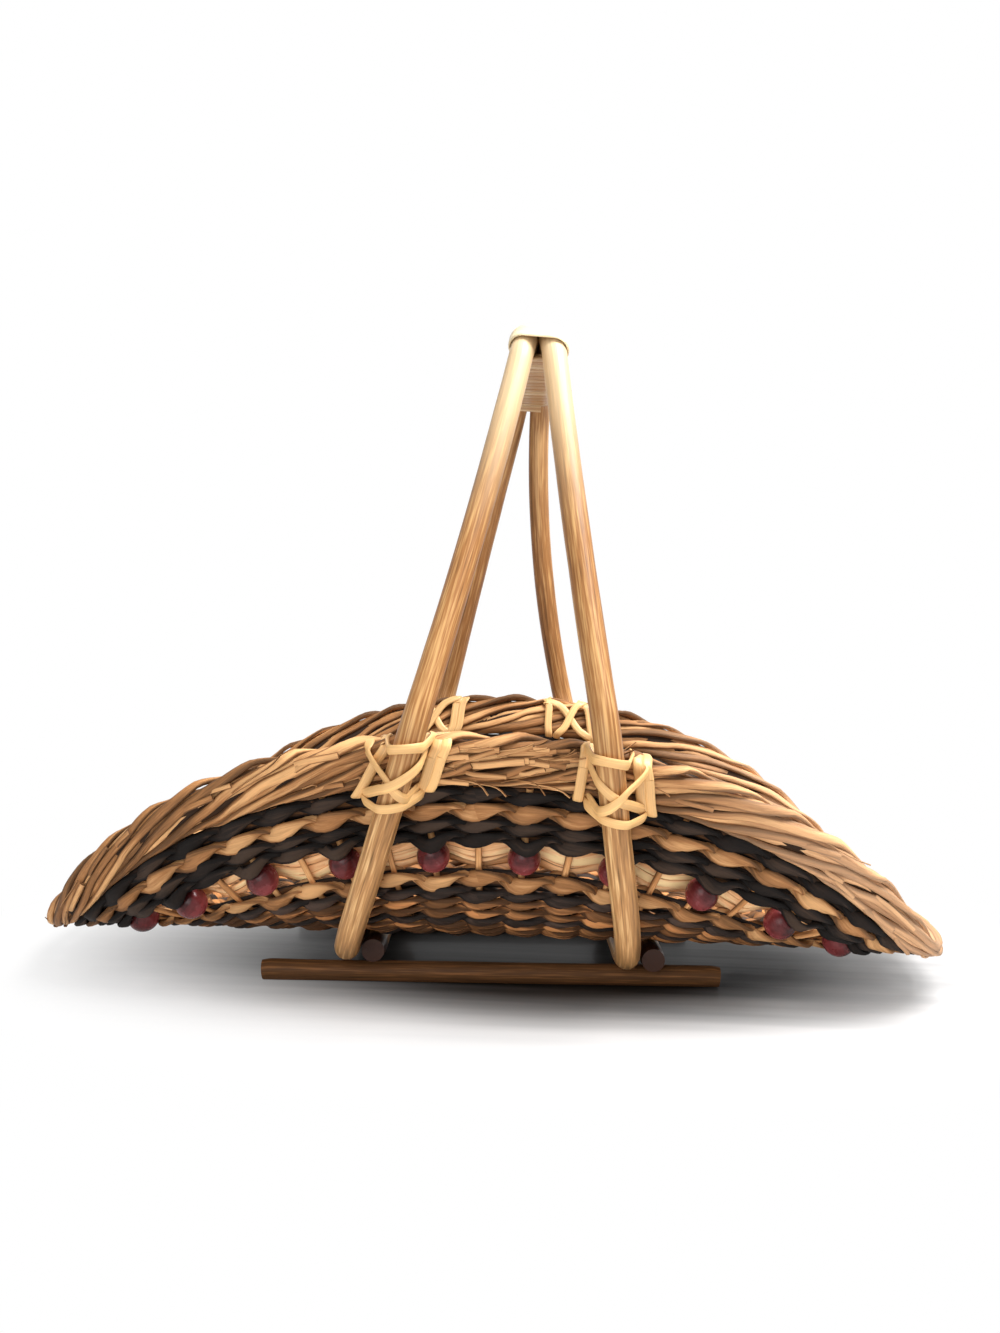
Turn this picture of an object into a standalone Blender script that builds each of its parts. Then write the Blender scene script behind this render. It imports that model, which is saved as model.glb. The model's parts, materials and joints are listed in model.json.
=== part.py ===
"""Wicker flower basket.

An oval woven mat is bent up at the front and the back into a trough. Two rattan poles, each bent
into a hoop, pass under the mat and up outside its front and back edges, and meet side by side at
the top, where a flat cane wrap joins them into the handle. Four cane lashings tie the hoops to the
border of the mat. Two round runners lie across under the hoops and stand on the ground.

The mat is laid out flat as an oval and then bent. On the sheet, x runs along the mat, s is the
distance across it, and height is the distance from the middle of its thickness, positive on the
outer, lower face. Metres and radians, +Z up, front at -Y, origin on the ground under the middle.
"""
import math

import bmesh
import bpy
from mathutils import Matrix, Vector

# Mat: the oval sheet and how it is bent
MAT_LENGTH = 0.441
MAT_WIDTH = 0.340
FLOOR_HALF_WIDTH = 0.041
BEND_RADIUS = 0.048
SIDE_SLOPE = math.radians(66.5)
TIP_SAG = 0.0035
SAG_START = 0.100
STRAND_THICKNESS = 0.00235
STAKE_DIAMETER = 0.0027
STAKE_ROOT = 0.003
STAKE_TIP_GAP = 0.0008
FLOOR_RINGS = (0.28, 0.52, 0.66, 0.78, 0.89, 1.0)

# Rows of the weave, from the rim inwards, as widths at the middle of the front
BORDER_WIDTH = 0.0215
BORDER_THICKNESS = 0.010
BORDER_CORNER = 0.0028
BORDER_EDGE_ANGLE = math.radians(50.0)
LASHING_SLOT = 0.0024
DARK_ROW_WIDTH = 0.0052
TAN_ROW_WIDTH = 0.0075
ROW_GAP = 0.0011
TIP_PACKING = 0.48

# Beads, one on every second stake
BEAD_COUNT = 24
BEAD_DIAMETER = 0.0145
BEAD_LENGTH = 0.0140
BEAD_END_ANGLE = math.radians(70.0)
BEAD_STEPS = 8
BEAD_PLAY = 0.00075
BEAD_BORE_GAP = 0.00042

# Poles
POLE_DIAMETER = 0.0118
HOOP_HEIGHT = 0.304
HOOP_TURN = math.radians(3.8)
FOOT_CENTRE = -0.0027
FOOT_SPREAD = 0.130
TIE_CENTRE = 0.0049
FRONT_TIE_SPREAD = 0.084
BACK_TIE_SPREAD = 0.0776
TOP_CENTRE = 0.0175
POLE_END_OVERHANG = 0.008
POLE_END_GAP = 0.0006
FRONT_SLOPE = math.radians(65.0)
BACK_SLOPE = math.radians(85.0)
TOP_BEND_RADIUS = 0.024
TIE_BEND_RADIUS = 0.026
TIE_CORNER_RISE = 0.0075
LEG_STEP = 0.025
BEND_STEP = math.radians(13.0)

# Runners
RUNNER_DIAMETER = 0.010
RUNNER_LENGTH = 0.215
RUNNER_SETBACK = 0.050
RUNNER_SIDES = 12

# Cane wrap on the handle
WRAP_STRIP_WIDTH = 0.0078
WRAP_STRIP_GAP = 0.00045
WRAP_STRIP_THICKNESS = 0.0012
WRAP_CLEARANCE = 0.00045
WRAP_ARC_STEPS = 6
WRAP_FRONT_TURN = math.radians(57.0)
WRAP_BACK_TURN = math.radians(36.0)

# Cane lashings
LASHING_STRIP_WIDTH = 0.0032
LASHING_STRIP_THICKNESS = 0.0010
LASHING_ARC_STEPS = 4
LASHING_LIFT = 0.0003
CROSS_HALF_WIDTH = 0.0100
SIDE_LOOP_PLACE = 0.0142
TOP_BAND_HALF_WIDTH = 0.0085
TOP_BAND_RISE = 0.0014
LOWER_BAND_DROP = 0.0033

CLEARANCE = 0.0003
LASHING_CLEARANCE = 0.0005
WELD_DISTANCE = 0.00001
HALF_TURN = math.pi
FULL_TURN = 2.0 * math.pi

# Sizes that follow from the ones above
MAT_THICKNESS = STAKE_DIAMETER + 2.0 * (CLEARANCE + STRAND_THICKNESS)
HALF_LENGTH = MAT_LENGTH / 2.0
HALF_WIDTH = MAT_WIDTH / 2.0
ARC_END = FLOOR_HALF_WIDTH + BEND_RADIUS * SIDE_SLOPE
OPEN_ROW_WIDTH = BEAD_LENGTH + 2.0 * BEAD_PLAY
POLE_RADIUS = POLE_DIAMETER / 2.0
POLE_PITCH = POLE_DIAMETER + CLEARANCE
POLE_END_SHIFT = POLE_DIAMETER + POLE_END_GAP
POLE_END = RUNNER_SETBACK + POLE_END_OVERHANG
RUNNER_FLAT = RUNNER_DIAMETER / 2.0 * math.cos(HALF_TURN / RUNNER_SIDES)
RUN_HEIGHT = 2.0 * RUNNER_FLAT + CLEARANCE + POLE_RADIUS
MAT_HEIGHT = RUN_HEIGHT + POLE_RADIUS + CLEARANCE + MAT_THICKNESS / 2.0

COLOURS = {
    "rattan pole": ((0.55, 0.31, 0.12, 1.0), 0.42),
    "pale cane": ((0.72, 0.53, 0.27, 1.0), 0.50),
    "tan rush": ((0.47, 0.27, 0.11, 1.0), 0.70),
    "dark rush": ((0.050, 0.036, 0.036, 1.0), 0.65),
    "brown stick": ((0.20, 0.095, 0.035, 1.0), 0.55),
    "maroon bead": ((0.085, 0.012, 0.012, 1.0), 0.30),
}


def step_in(edge, width, packed=True):
    """The edge that lies one width further in: rows lie closer together at the mat's two tips."""
    return edge[0] + width, edge[1] + width * (TIP_PACKING if packed else 1.0)


# Edges of the rows, each as its distance inside the rim at the middle of the side and at the tip
RIM = (0.0, 0.0)
BORDER_INNER = step_in(RIM, BORDER_WIDTH)
DARK_OUTER_START = step_in(BORDER_INNER, LASHING_SLOT, packed=False)
DARK_OUTER_END = step_in(DARK_OUTER_START, DARK_ROW_WIDTH)
TAN_OUTER_START = step_in(DARK_OUTER_END, ROW_GAP, packed=False)
TAN_OUTER_END = step_in(TAN_OUTER_START, TAN_ROW_WIDTH)
DARK_MIDDLE_START = step_in(TAN_OUTER_END, ROW_GAP, packed=False)
DARK_MIDDLE_END = step_in(DARK_MIDDLE_START, DARK_ROW_WIDTH)
DARK_UPPER_START = step_in(DARK_MIDDLE_END, ROW_GAP, packed=False)
DARK_UPPER_END = step_in(DARK_UPPER_START, DARK_ROW_WIDTH)
BEAD_RING = step_in(DARK_UPPER_END, OPEN_ROW_WIDTH / 2.0, packed=False)
TAN_LOWER_START = step_in(DARK_UPPER_END, OPEN_ROW_WIDTH, packed=False)
TAN_LOWER_END = step_in(TAN_LOWER_START, TAN_ROW_WIDTH)
FLOOR_EDGE = step_in(TAN_LOWER_END, ROW_GAP, packed=False)

ROWS = {
    "dark_row_outer": (DARK_OUTER_START, DARK_OUTER_END, "dark rush"),
    "tan_row_outer": (TAN_OUTER_START, TAN_OUTER_END, "tan rush"),
    "dark_row_middle": (DARK_MIDDLE_START, DARK_MIDDLE_END, "dark rush"),
    "dark_row_above_beads": (DARK_UPPER_START, DARK_UPPER_END, "dark rush"),
    "tan_row_below_beads": (TAN_LOWER_START, TAN_LOWER_END, "tan rush"),
}


def sheet_normal(s):
    """Unit vector out of the outer face of the bent mat at the distance s across it."""
    turn = min(max((abs(s) - FLOOR_HALF_WIDTH) / BEND_RADIUS, 0.0), SIDE_SLOPE)
    return Vector((0.0, math.copysign(math.sin(turn), s), -math.cos(turn)))


def sheet_point(x, s, height=0.0):
    """Point of the bent mat: a flat floor, then an arc on each side, then a straight slope."""
    across = abs(s)
    turn = min(max((across - FLOOR_HALF_WIDTH) / BEND_RADIUS, 0.0), SIDE_SLOPE)
    straight = max(across - ARC_END, 0.0)
    y = min(across, FLOOR_HALF_WIDTH) + BEND_RADIUS * math.sin(turn) + straight * math.cos(SIDE_SLOPE)
    rise = BEND_RADIUS * (1.0 - math.cos(turn)) + straight * math.sin(SIDE_SLOPE)
    droop = TIP_SAG * (max(abs(x) - SAG_START, 0.0) / (HALF_LENGTH - SAG_START)) ** 2
    middle = Vector((x, math.copysign(y, s), MAT_HEIGHT + rise - droop))
    return middle + sheet_normal(s) * height


def ring_point(edge, angle, height=0.0):
    """Point on the oval that lies the edge's two distances inside the rim."""
    x = (HALF_LENGTH - edge[1]) * math.cos(angle)
    s = (HALF_WIDTH - edge[0]) * math.sin(angle)
    return sheet_point(x, s, height)


def stake_angles():
    """Angles of the stakes, evenly spaced along the bead ring, the first at the front middle."""
    samples = 4000
    lengths = [0.0]
    for index in range(samples):
        angle = FULL_TURN * (0.75 + (index + 0.5) / samples)
        along = (HALF_LENGTH - BEAD_RING[1]) * math.sin(angle)
        across = (HALF_WIDTH - BEAD_RING[0]) * math.cos(angle)
        lengths.append(lengths[-1] + math.hypot(along, across) * FULL_TURN / samples)
    found = []
    low = 0
    for stake in range(2 * BEAD_COUNT):
        wanted = lengths[-1] * stake / (2 * BEAD_COUNT)
        while lengths[low + 1] <= wanted:
            low += 1
        share = (wanted - lengths[low]) / (lengths[low + 1] - lengths[low])
        found.append(FULL_TURN * (0.75 + (low + share) / samples))
    return found


STAKE_ANGLES = stake_angles()


def meeting_point(point_a, towards_a, point_b, towards_b):
    """Where two lines of a plane cross."""
    cross = towards_a.x * towards_b.y - towards_a.y * towards_b.x
    offset = point_b - point_a
    share = (offset.x * towards_b.y - offset.y * towards_b.x) / cross
    return point_a + towards_a * share


def leg_corners():
    """Corners of a leg in the (y, z) plane: foot, tie, the front leg's top and the back leg's top.

    The leg passes just outside the beads and just outside the border. Above the border it leans in,
    more at the front than at the back.
    """
    bead_reach = BEAD_DIAMETER / 2.0 + CLEARANCE + POLE_RADIUS
    border_reach = BORDER_THICKNESS / 2.0 + LASHING_CLEARANCE + POLE_RADIUS
    low = sheet_point(0.0, HALF_WIDTH - BEAD_RING[0], bead_reach).yz
    rim = sheet_point(0.0, HALF_WIDTH, border_reach).yz
    side = rim - low
    level = Vector((1.0, 0.0))
    foot = meeting_point(low, side, Vector((0.0, RUN_HEIGHT)), level)
    tie = meeting_point(low, side, Vector((0.0, rim.y + TIE_CORNER_RISE)), level)
    tops = []
    for slope in (FRONT_SLOPE, BACK_SLOPE):
        upright = Vector((-math.cos(slope), math.sin(slope)))
        tops.append(meeting_point(tie, upright, Vector((0.0, HOOP_HEIGHT)), level))
    return foot, tie, *tops


FOOT_CORNER, TIE_CORNER, FRONT_TOP, BACK_TOP = leg_corners()
TIE_HEIGHT = sheet_point(0.0, HALF_WIDTH - BORDER_WIDTH / 2.0).z

# The straight of the handle between its two bends, as y, and the part of its length that is wrapped
FRONT_BEND = -FRONT_TOP.x + TOP_BEND_RADIUS * math.tan(FRONT_SLOPE / 2.0)
BACK_BEND = BACK_TOP.x - TOP_BEND_RADIUS * math.tan(BACK_SLOPE / 2.0)
WRAP_START = FRONT_BEND - TOP_BEND_RADIUS * WRAP_FRONT_TURN
WRAP_END = BACK_BEND + TOP_BEND_RADIUS * WRAP_BACK_TURN
WRAP_PITCH = WRAP_STRIP_WIDTH + WRAP_STRIP_GAP
WRAP_LOOPS = int((WRAP_END - WRAP_START - WRAP_STRIP_WIDTH) / WRAP_PITCH)


def pole_x(height, side, back):
    """Place of a leg across the hoops: a smooth curve through its foot, its tie and the top."""
    tie_spread = BACK_TIE_SPREAD if back else FRONT_TIE_SPREAD
    foot_shift = POLE_END_SHIFT if back else 0.0
    places = {
        RUN_HEIGHT: FOOT_CENTRE + side * FOOT_SPREAD / 2.0 + foot_shift,
        TIE_HEIGHT: TIE_CENTRE + side * tie_spread / 2.0,
        HOOP_HEIGHT: TOP_CENTRE + side * POLE_PITCH / 2.0,
    }
    total = 0.0
    for level, place in places.items():
        weight = 1.0
        for other in places:
            if other != level:
                weight *= (height - other) / (level - other)
        total += weight * place
    return total


def to_mat(across, y, z):
    """Point of the hoops, which stand a little turned on the mat, in the mat's own axes."""
    return Vector((across / math.cos(HOOP_TURN) - y * math.tan(HOOP_TURN), y, z))


def rounded_corner(before, corner, after, radius):
    """Points of the arc that rounds one corner of a path in a plane."""
    back = (before - corner).normalized()
    ahead = (after - corner).normalized()
    half_angle = back.angle(ahead) / 2.0
    centre = corner + (back + ahead).normalized() * radius / math.sin(half_angle)
    start = corner + back * radius / math.tan(half_angle) - centre
    end = corner + ahead * radius / math.tan(half_angle) - centre
    first = math.atan2(start.y, start.x)
    sweep = (math.atan2(end.y, end.x) - first + HALF_TURN) % FULL_TURN - HALF_TURN
    count = max(2, round(abs(sweep) / BEND_STEP))
    points = []
    for part in range(count + 1):
        turn = first + sweep * part / count
        points.append(centre + Vector((math.cos(turn), math.sin(turn))) * radius)
    return points


def half_hoop(back):
    """One half of a hoop in the (y, z) plane, from the handle's middle to the ground's far side."""
    foot_radius = BEND_RADIUS + MAT_THICKNESS / 2.0 + POLE_RADIUS
    corners = [Vector((0.0, HOOP_HEIGHT)), BACK_TOP if back else FRONT_TOP, TIE_CORNER, FOOT_CORNER]
    corners.append(Vector((-POLE_END, RUN_HEIGHT)))
    radii = (TOP_BEND_RADIUS, TIE_BEND_RADIUS, foot_radius)
    points = []
    for index, radius in enumerate(radii):
        points += rounded_corner(corners[index], corners[index + 1], corners[index + 2], radius)
    points.append(corners[-1])
    stepped = [points[0]]
    for point in points[1:]:
        count = math.ceil(abs(point.y - stepped[-1].y) / LEG_STEP)
        start = stepped[-1]
        stepped += [start.lerp(point, part / count) for part in range(1, count)]
        stepped.append(point)
    return stepped


def hoop_path(side):
    """Centre line of one pole: under the mat, up the back leg, over, down the front and under."""
    back_leg = [to_mat(pole_x(point.y, side, True), point.x, point.y) for point in half_hoop(True)]
    front_leg = [to_mat(pole_x(point.y, side, False), -point.x, point.y) for point in half_hoop(False)]
    return back_leg[::-1] + front_leg


def collection(name):
    made = bpy.data.collections.new(name)
    bpy.context.scene.collection.children.link(made)
    return made


def clear_scene():
    for thing in list(bpy.data.objects):
        bpy.data.objects.remove(thing, do_unlink=True)
    for group in list(bpy.data.collections):
        bpy.data.collections.remove(group)


def make_materials():
    made = {}
    for name, (colour, roughness) in COLOURS.items():
        material = bpy.data.materials.new(name)
        material.use_nodes = True
        shader = material.node_tree.nodes["Principled BSDF"]
        shader.inputs["Base Color"].default_value = colour
        shader.inputs["Roughness"].default_value = roughness
        shader.inputs["Metallic"].default_value = 0.0
        material.diffuse_color = colour
        made[name] = material
    return made


def add_object(name, data, group, material):
    made = bpy.data.objects.new(name, data)
    group.objects.link(made)
    data.materials.append(material)
    return made


def add_wall(thing, thickness):
    """Give an open surface its thickness, half on each side."""
    wall = thing.modifiers.new("Thickness", "SOLIDIFY")
    wall.thickness = thickness
    wall.offset = 0.0
    wall.use_even_offset = True


def hide_helper(thing):
    thing.hide_render = True
    thing.display_type = "WIRE"


def add_union(thing, helper):
    """Join a helper solid to the thing."""
    hide_helper(helper)
    joined = thing.modifiers.new(f"Joined {helper.name}", "BOOLEAN")
    joined.operation = "UNION"
    joined.solver = "EXACT"
    joined.object = helper


def add_weld(thing):
    """Merge the nearly coincident points that the unions leave."""
    weld = thing.modifiers.new("Welded", "WELD")
    weld.merge_threshold = WELD_DISTANCE


def add_strip(name, lines, closed, thickness, group, material):
    """A flat strip over short lines of points that lie across it, an open surface with Solidify."""
    vertices = [point for line in lines for point in line]
    count = len(lines)
    across = len(lines[0])
    faces = []
    for index in range(count if closed else count - 1):
        for here in range(across * index, across * index + across - 1):
            there = (here + across) % (across * count)
            faces.append((here, here + 1, there + 1, there))
    mesh = bpy.data.meshes.new(name)
    mesh.from_pydata(vertices, [], faces)
    made = add_object(name, mesh, group, material)
    add_wall(made, thickness)
    return made


def add_row(name, parity, edges, group, material):
    """One woven row: a strand that passes before one stake and behind the next, all the way round."""
    middle = STAKE_DIAMETER / 2.0 + CLEARANCE + STRAND_THICKNESS / 2.0
    pairs = []
    for index, angle in enumerate(STAKE_ANGLES):
        height = middle if (index + parity) % 2 else -middle
        pairs.append([ring_point(edge, angle, height) for edge in edges])
    return add_strip(name, pairs, True, STRAND_THICKNESS, group, material)


def add_border(group, helpers, material):
    """The thick plait round the rim, one ring with bevelled corners, and the stakes it holds."""
    pairs = [(ring_point(RIM, angle), ring_point(BORDER_INNER, angle)) for angle in STAKE_ANGLES]
    made = add_strip("border_and_stakes", pairs, True, BORDER_THICKNESS, group, material)
    corner = made.modifiers.new("Bevelled corners", "BEVEL")
    corner.width = BORDER_CORNER
    corner.segments = 1
    corner.limit_method = "ANGLE"
    corner.angle_limit = BORDER_EDGE_ANGLE
    lines = [stake_points(angle) for angle in STAKE_ANGLES]
    rods = add_tube("stake_rods", lines, STAKE_DIAMETER, 0, helpers, material)
    add_union(made, to_mesh(rods, helpers))


def stake_points(angle):
    """Points of one stake, with a bend at the edges of the rows that it passes."""
    root = step_in(BORDER_INNER, -STAKE_ROOT, packed=False)
    tip = step_in(FLOOR_EDGE, -STAKE_TIP_GAP, packed=False)
    edges = [root, DARK_OUTER_START, TAN_OUTER_END, DARK_UPPER_END, TAN_LOWER_START, tip]
    return [ring_point(edge, angle) for edge in edges]


def add_tube(name, lines, diameter, resolution, group, material):
    """Round bars along lines of points, as one curve object with filled ends."""
    curve = bpy.data.curves.new(name, "CURVE")
    curve.dimensions = "3D"
    curve.bevel_depth = diameter / 2.0
    curve.bevel_resolution = resolution
    curve.use_fill_caps = True
    for line in lines:
        spline = curve.splines.new("POLY")
        spline.points.add(len(line) - 1)
        for point, place in zip(spline.points, line):
            point.co = (*place, 1.0)
    return add_object(name, curve, group, material)


def to_mesh(thing, group):
    """A curve object made a mesh object of the same name, its end caps welded to its sides."""
    bpy.context.view_layer.update()
    evaluated = thing.evaluated_get(bpy.context.evaluated_depsgraph_get())
    mesh = bpy.data.meshes.new_from_object(evaluated)
    name = thing.name
    place = thing.matrix_world.copy()
    bpy.data.objects.remove(thing, do_unlink=True)
    work = bmesh.new()
    work.from_mesh(mesh)
    bmesh.ops.remove_doubles(work, verts=work.verts, dist=WELD_DISTANCE)
    work.to_mesh(mesh)
    work.free()
    made = bpy.data.objects.new(name, mesh)
    made.matrix_world = place
    group.objects.link(made)
    return made


def add_floor(group, material):
    """The closely woven middle of the mat, one bent oval plate."""
    rings = [[sheet_point(0.0, 0.0)]]
    for share in FLOOR_RINGS:
        ring = []
        for angle in STAKE_ANGLES:
            x = share * (HALF_LENGTH - FLOOR_EDGE[1]) * math.cos(angle)
            s = share * (HALF_WIDTH - FLOOR_EDGE[0]) * math.sin(angle)
            ring.append(sheet_point(x, s))
        rings.append(ring)
    count = len(STAKE_ANGLES)
    faces = []
    for index in range(count):
        following = (index + 1) % count
        faces.append((0, 1 + index, 1 + following))
        for near in range(1, 1 + count * (len(rings) - 2), count):
            far = near + count
            faces.append((near + index, far + index, far + following, near + following))
    mesh = bpy.data.meshes.new("mat_floor")
    mesh.from_pydata([point for ring in rings for point in ring], [], faces)
    made = add_object("mat_floor", mesh, group, material)
    add_wall(made, MAT_THICKNESS)


def bead_mesh(material):
    """Half outline of a bored bead, down its outer side and up its bore, round the bore's axis."""
    bore = STAKE_DIAMETER / 2.0 + BEAD_BORE_GAP
    half = BEAD_LENGTH / 2.0
    outline = []
    for part in (1.0, 0.5, 0.0, -0.5, -1.0):
        turn = part * BEAD_END_ANGLE
        radius = BEAD_DIAMETER / 2.0 * math.cos(turn)
        outline.append((radius, 0.0, half * math.sin(turn) / math.sin(BEAD_END_ANGLE)))
    outline += [(bore, 0.0, -half), (bore, 0.0, half)]
    edges = [(index, (index + 1) % len(outline)) for index in range(len(outline))]
    mesh = bpy.data.meshes.new("bead")
    mesh.from_pydata(outline, edges, [])
    mesh.materials.append(material)
    return mesh


def add_beads(group, material):
    """A bead on every second stake, beginning beside the stake at the front middle."""
    mesh = bead_mesh(material)
    for number in range(BEAD_COUNT):
        angle = STAKE_ANGLES[1 + 2 * number]
        low = ring_point(TAN_LOWER_START, angle)
        high = ring_point(DARK_UPPER_END, angle)
        made = bpy.data.objects.new(f"bead_{number + 1:02d}", mesh)
        group.objects.link(made)
        made.location = (low + high) / 2.0
        made.rotation_mode = "QUATERNION"
        made.rotation_quaternion = (high - low).to_track_quat("Z", "Y")
        turned = made.modifiers.new("Turned", "SCREW")
        turned.axis = "Z"
        turned.steps = BEAD_STEPS
        turned.render_steps = BEAD_STEPS
        turned.use_merge_vertices = True
        turned.merge_threshold = WELD_DISTANCE


def add_runner(name, setback, group, material):
    """A round stick across under the hoops, with one facet flat on the ground."""
    bpy.ops.mesh.primitive_cylinder_add(
        vertices=RUNNER_SIDES, radius=RUNNER_DIAMETER / 2.0, depth=RUNNER_LENGTH)
    made = bpy.context.object
    made.name = name
    made.data.name = name
    place = Matrix.Rotation(HOOP_TURN, 4, "Z") @ Vector((0.0, setback, RUNNER_FLAT))
    lie_down = Matrix.Rotation(HALF_TURN / 2.0, 4, "Y")
    facet_down = Matrix.Rotation(HALF_TURN / RUNNER_SIDES, 4, "Z")
    turned = Matrix.Rotation(HOOP_TURN, 4, "Z") @ lie_down @ facet_down
    made.matrix_world = Matrix.Translation(place) @ turned
    made.data.shade_smooth()
    made.data.set_sharp_from_angle(angle=HALF_TURN / 4.0)
    for old in list(made.users_collection):
        old.objects.unlink(made)
    group.objects.link(made)
    made.data.materials.append(material)


def handle_place(along):
    """Point of the handle's centre line in the (y, z) plane, and how far it has turned down there.

    The line is straight between the bends, where along is y, and then follows their arcs.
    """
    bend = min(max(along, FRONT_BEND), BACK_BEND)
    turn = (along - bend) / TOP_BEND_RADIUS
    y = bend + TOP_BEND_RADIUS * math.sin(turn)
    return y, HOOP_HEIGHT - TOP_BEND_RADIUS * (1.0 - math.cos(turn)), turn


def wrap_point(side, section_turn, along):
    """Middle of the strip's thickness where it goes round one pole at a place along the handle."""
    half_step = HALF_TURN / WRAP_ARC_STEPS / 2.0
    reach = (POLE_RADIUS + WRAP_CLEARANCE) / math.cos(half_step) + WRAP_STRIP_THICKNESS / 2.0
    y, z, turn = handle_place(along)
    across = pole_x(z, side, along > 0.0) + reach * math.cos(section_turn)
    rise = reach * math.sin(section_turn)
    return to_mat(across, y + rise * math.sin(turn), z + rise * math.cos(turn))


def add_wrap(group, material):
    """Flat cane wound round both poles along the handle and into its bends, one unbroken strip."""
    section = []
    for side, start in ((1.0, -HALF_TURN / 2.0), (-1.0, HALF_TURN / 2.0)):
        section += [(side, start + HALF_TURN * step / WRAP_ARC_STEPS) for step in range(WRAP_ARC_STEPS + 1)]
    per_loop = len(section)
    middle = (WRAP_START + WRAP_END) / 2.0
    flat = [wrap_point(side, turn, middle) for side, turn in section]
    sides = [(flat[(index + 1) % per_loop] - flat[index]).length for index in range(per_loop)]
    ways = [sum(sides[:index]) / sum(sides) for index in range(per_loop)]
    lines = []
    for index in range(WRAP_LOOPS * per_loop + 1):
        turns = index // per_loop + ways[index % per_loop]
        along = middle + WRAP_PITCH * (turns - WRAP_LOOPS / 2.0)
        side, turn = section[index % per_loop]
        steps = (-WRAP_STRIP_WIDTH / 2.0, 0.0, WRAP_STRIP_WIDTH / 2.0)
        lines.append([wrap_point(side, turn, along + step) for step in steps])
    gaps = [(after[0] - line[-1]).length for line, after in zip(lines, lines[per_loop:])]
    print(f"handle wrap: {WRAP_LOOPS} loops, least gap to itself {1000.0 * min(gaps):.2f} mm")
    add_strip("handle_wrap", lines, False, WRAP_STRIP_THICKNESS, group, material)


def leg_place(side, back, height):
    """Centre of a leg beside the mat, on the straight between its foot bend and its tie bend."""
    rise = (height - FOOT_CORNER.y) / (TIE_CORNER.y - FOOT_CORNER.y)
    y = FOOT_CORNER.lerp(TIE_CORNER, rise).x
    return to_mat(pole_x(height, side, back), y if back else -y, height)


class Tie:
    """Where a leg crosses the border, with its own axes.

    u runs along the border, v across it towards the rim, and w out of its face, from the middle of
    the border behind the leg. The border bows away from u on both sides.
    """

    def __init__(self, side, back):
        facing = 1.0 if back else -1.0
        edge = step_in(RIM, BORDER_WIDTH / 2.0)
        long_half = HALF_LENGTH - edge[1]
        short_half = HALF_WIDTH - edge[0]
        x = leg_place(side, back, TIE_HEIGHT).x
        share = 1.0 - (x / long_half) ** 2
        s = facing * short_half * math.sqrt(share)
        slope = -short_half * x / (long_half ** 2 * math.sqrt(share))
        up_sheet = Vector((0.0, facing * math.cos(SIDE_SLOPE), math.sin(SIDE_SLOPE)))
        along = (Vector((1.0, 0.0, 0.0)) + up_sheet * slope).normalized()
        away = sheet_normal(s)
        self.origin = sheet_point(x, s)
        self.axes = Matrix((along, away.cross(along) * -facing, away)).transposed()
        self.bow_radius = long_half ** 2 / short_half * (share + (1.0 - share) * (
            short_half / long_half) ** 2) ** 1.5
        near = self.to_tie(leg_place(side, back, self.origin.z - BORDER_WIDTH / 2.0))
        far = self.to_tie(leg_place(side, back, self.origin.z + BORDER_WIDTH / 2.0))
        self.leg_start = near
        self.leg_run = (far - near) / (far.y - near.y)
        slot = step_in(BORDER_INNER, LASHING_SLOT / 2.0, packed=False)
        self.stakes = [self.to_tie(ring_point(slot, angle)) for angle in STAKE_ANGLES]

    def to_tie(self, point):
        return self.axes.inverted() @ (point - self.origin)

    def from_tie(self, point):
        bowed = Vector((point.x, point.y - point.x ** 2 / (2.0 * self.bow_radius), point.z))
        return self.origin + self.axes @ bowed

    def leg_at(self, v):
        """Centre of the leg where it passes the height v of the border."""
        return self.leg_start + self.leg_run * (v - self.leg_start.y)

    def beside_stakes(self, u):
        """The place u, moved outwards just so far that a strip in the slot misses the stakes."""
        reach = (LASHING_STRIP_WIDTH + STAKE_DIAMETER) / 2.0 + CLEARANCE
        for stake in self.stakes:
            near = abs(stake.z) < MAT_THICKNESS and abs(stake.y) < BORDER_WIDTH
            if near and abs(u - stake.x) < reach:
                return stake.x + math.copysign(reach, u)
        return u


HALF_STRIP = LASHING_STRIP_THICKNESS / 2.0
TIE_FACE = BORDER_THICKNESS / 2.0 + LASHING_CLEARANCE + HALF_STRIP
TIE_RIM = BORDER_WIDTH / 2.0 + LASHING_CLEARANCE + HALF_STRIP
TIE_SLOT = -(BORDER_WIDTH + LASHING_SLOT) / 2.0
TIE_CORNER_CUT = BORDER_CORNER + (2.0 - math.sqrt(2.0)) * (LASHING_CLEARANCE + HALF_STRIP)
TIE_TURN = TIE_FACE - TIE_CORNER_CUT
TIE_HIGH = TIE_RIM - TIE_CORNER_CUT
TIE_LOW = TIE_SLOT + TIE_CORNER_CUT
TIE_SHOULDER = TIE_FACE + LASHING_STRIP_WIDTH / 4.0
ALONG = Vector((LASHING_STRIP_WIDTH / 2.0, 0.0, 0.0))
ACROSS = Vector((0.0, LASHING_STRIP_WIDTH / 2.0, 0.0))


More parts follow.
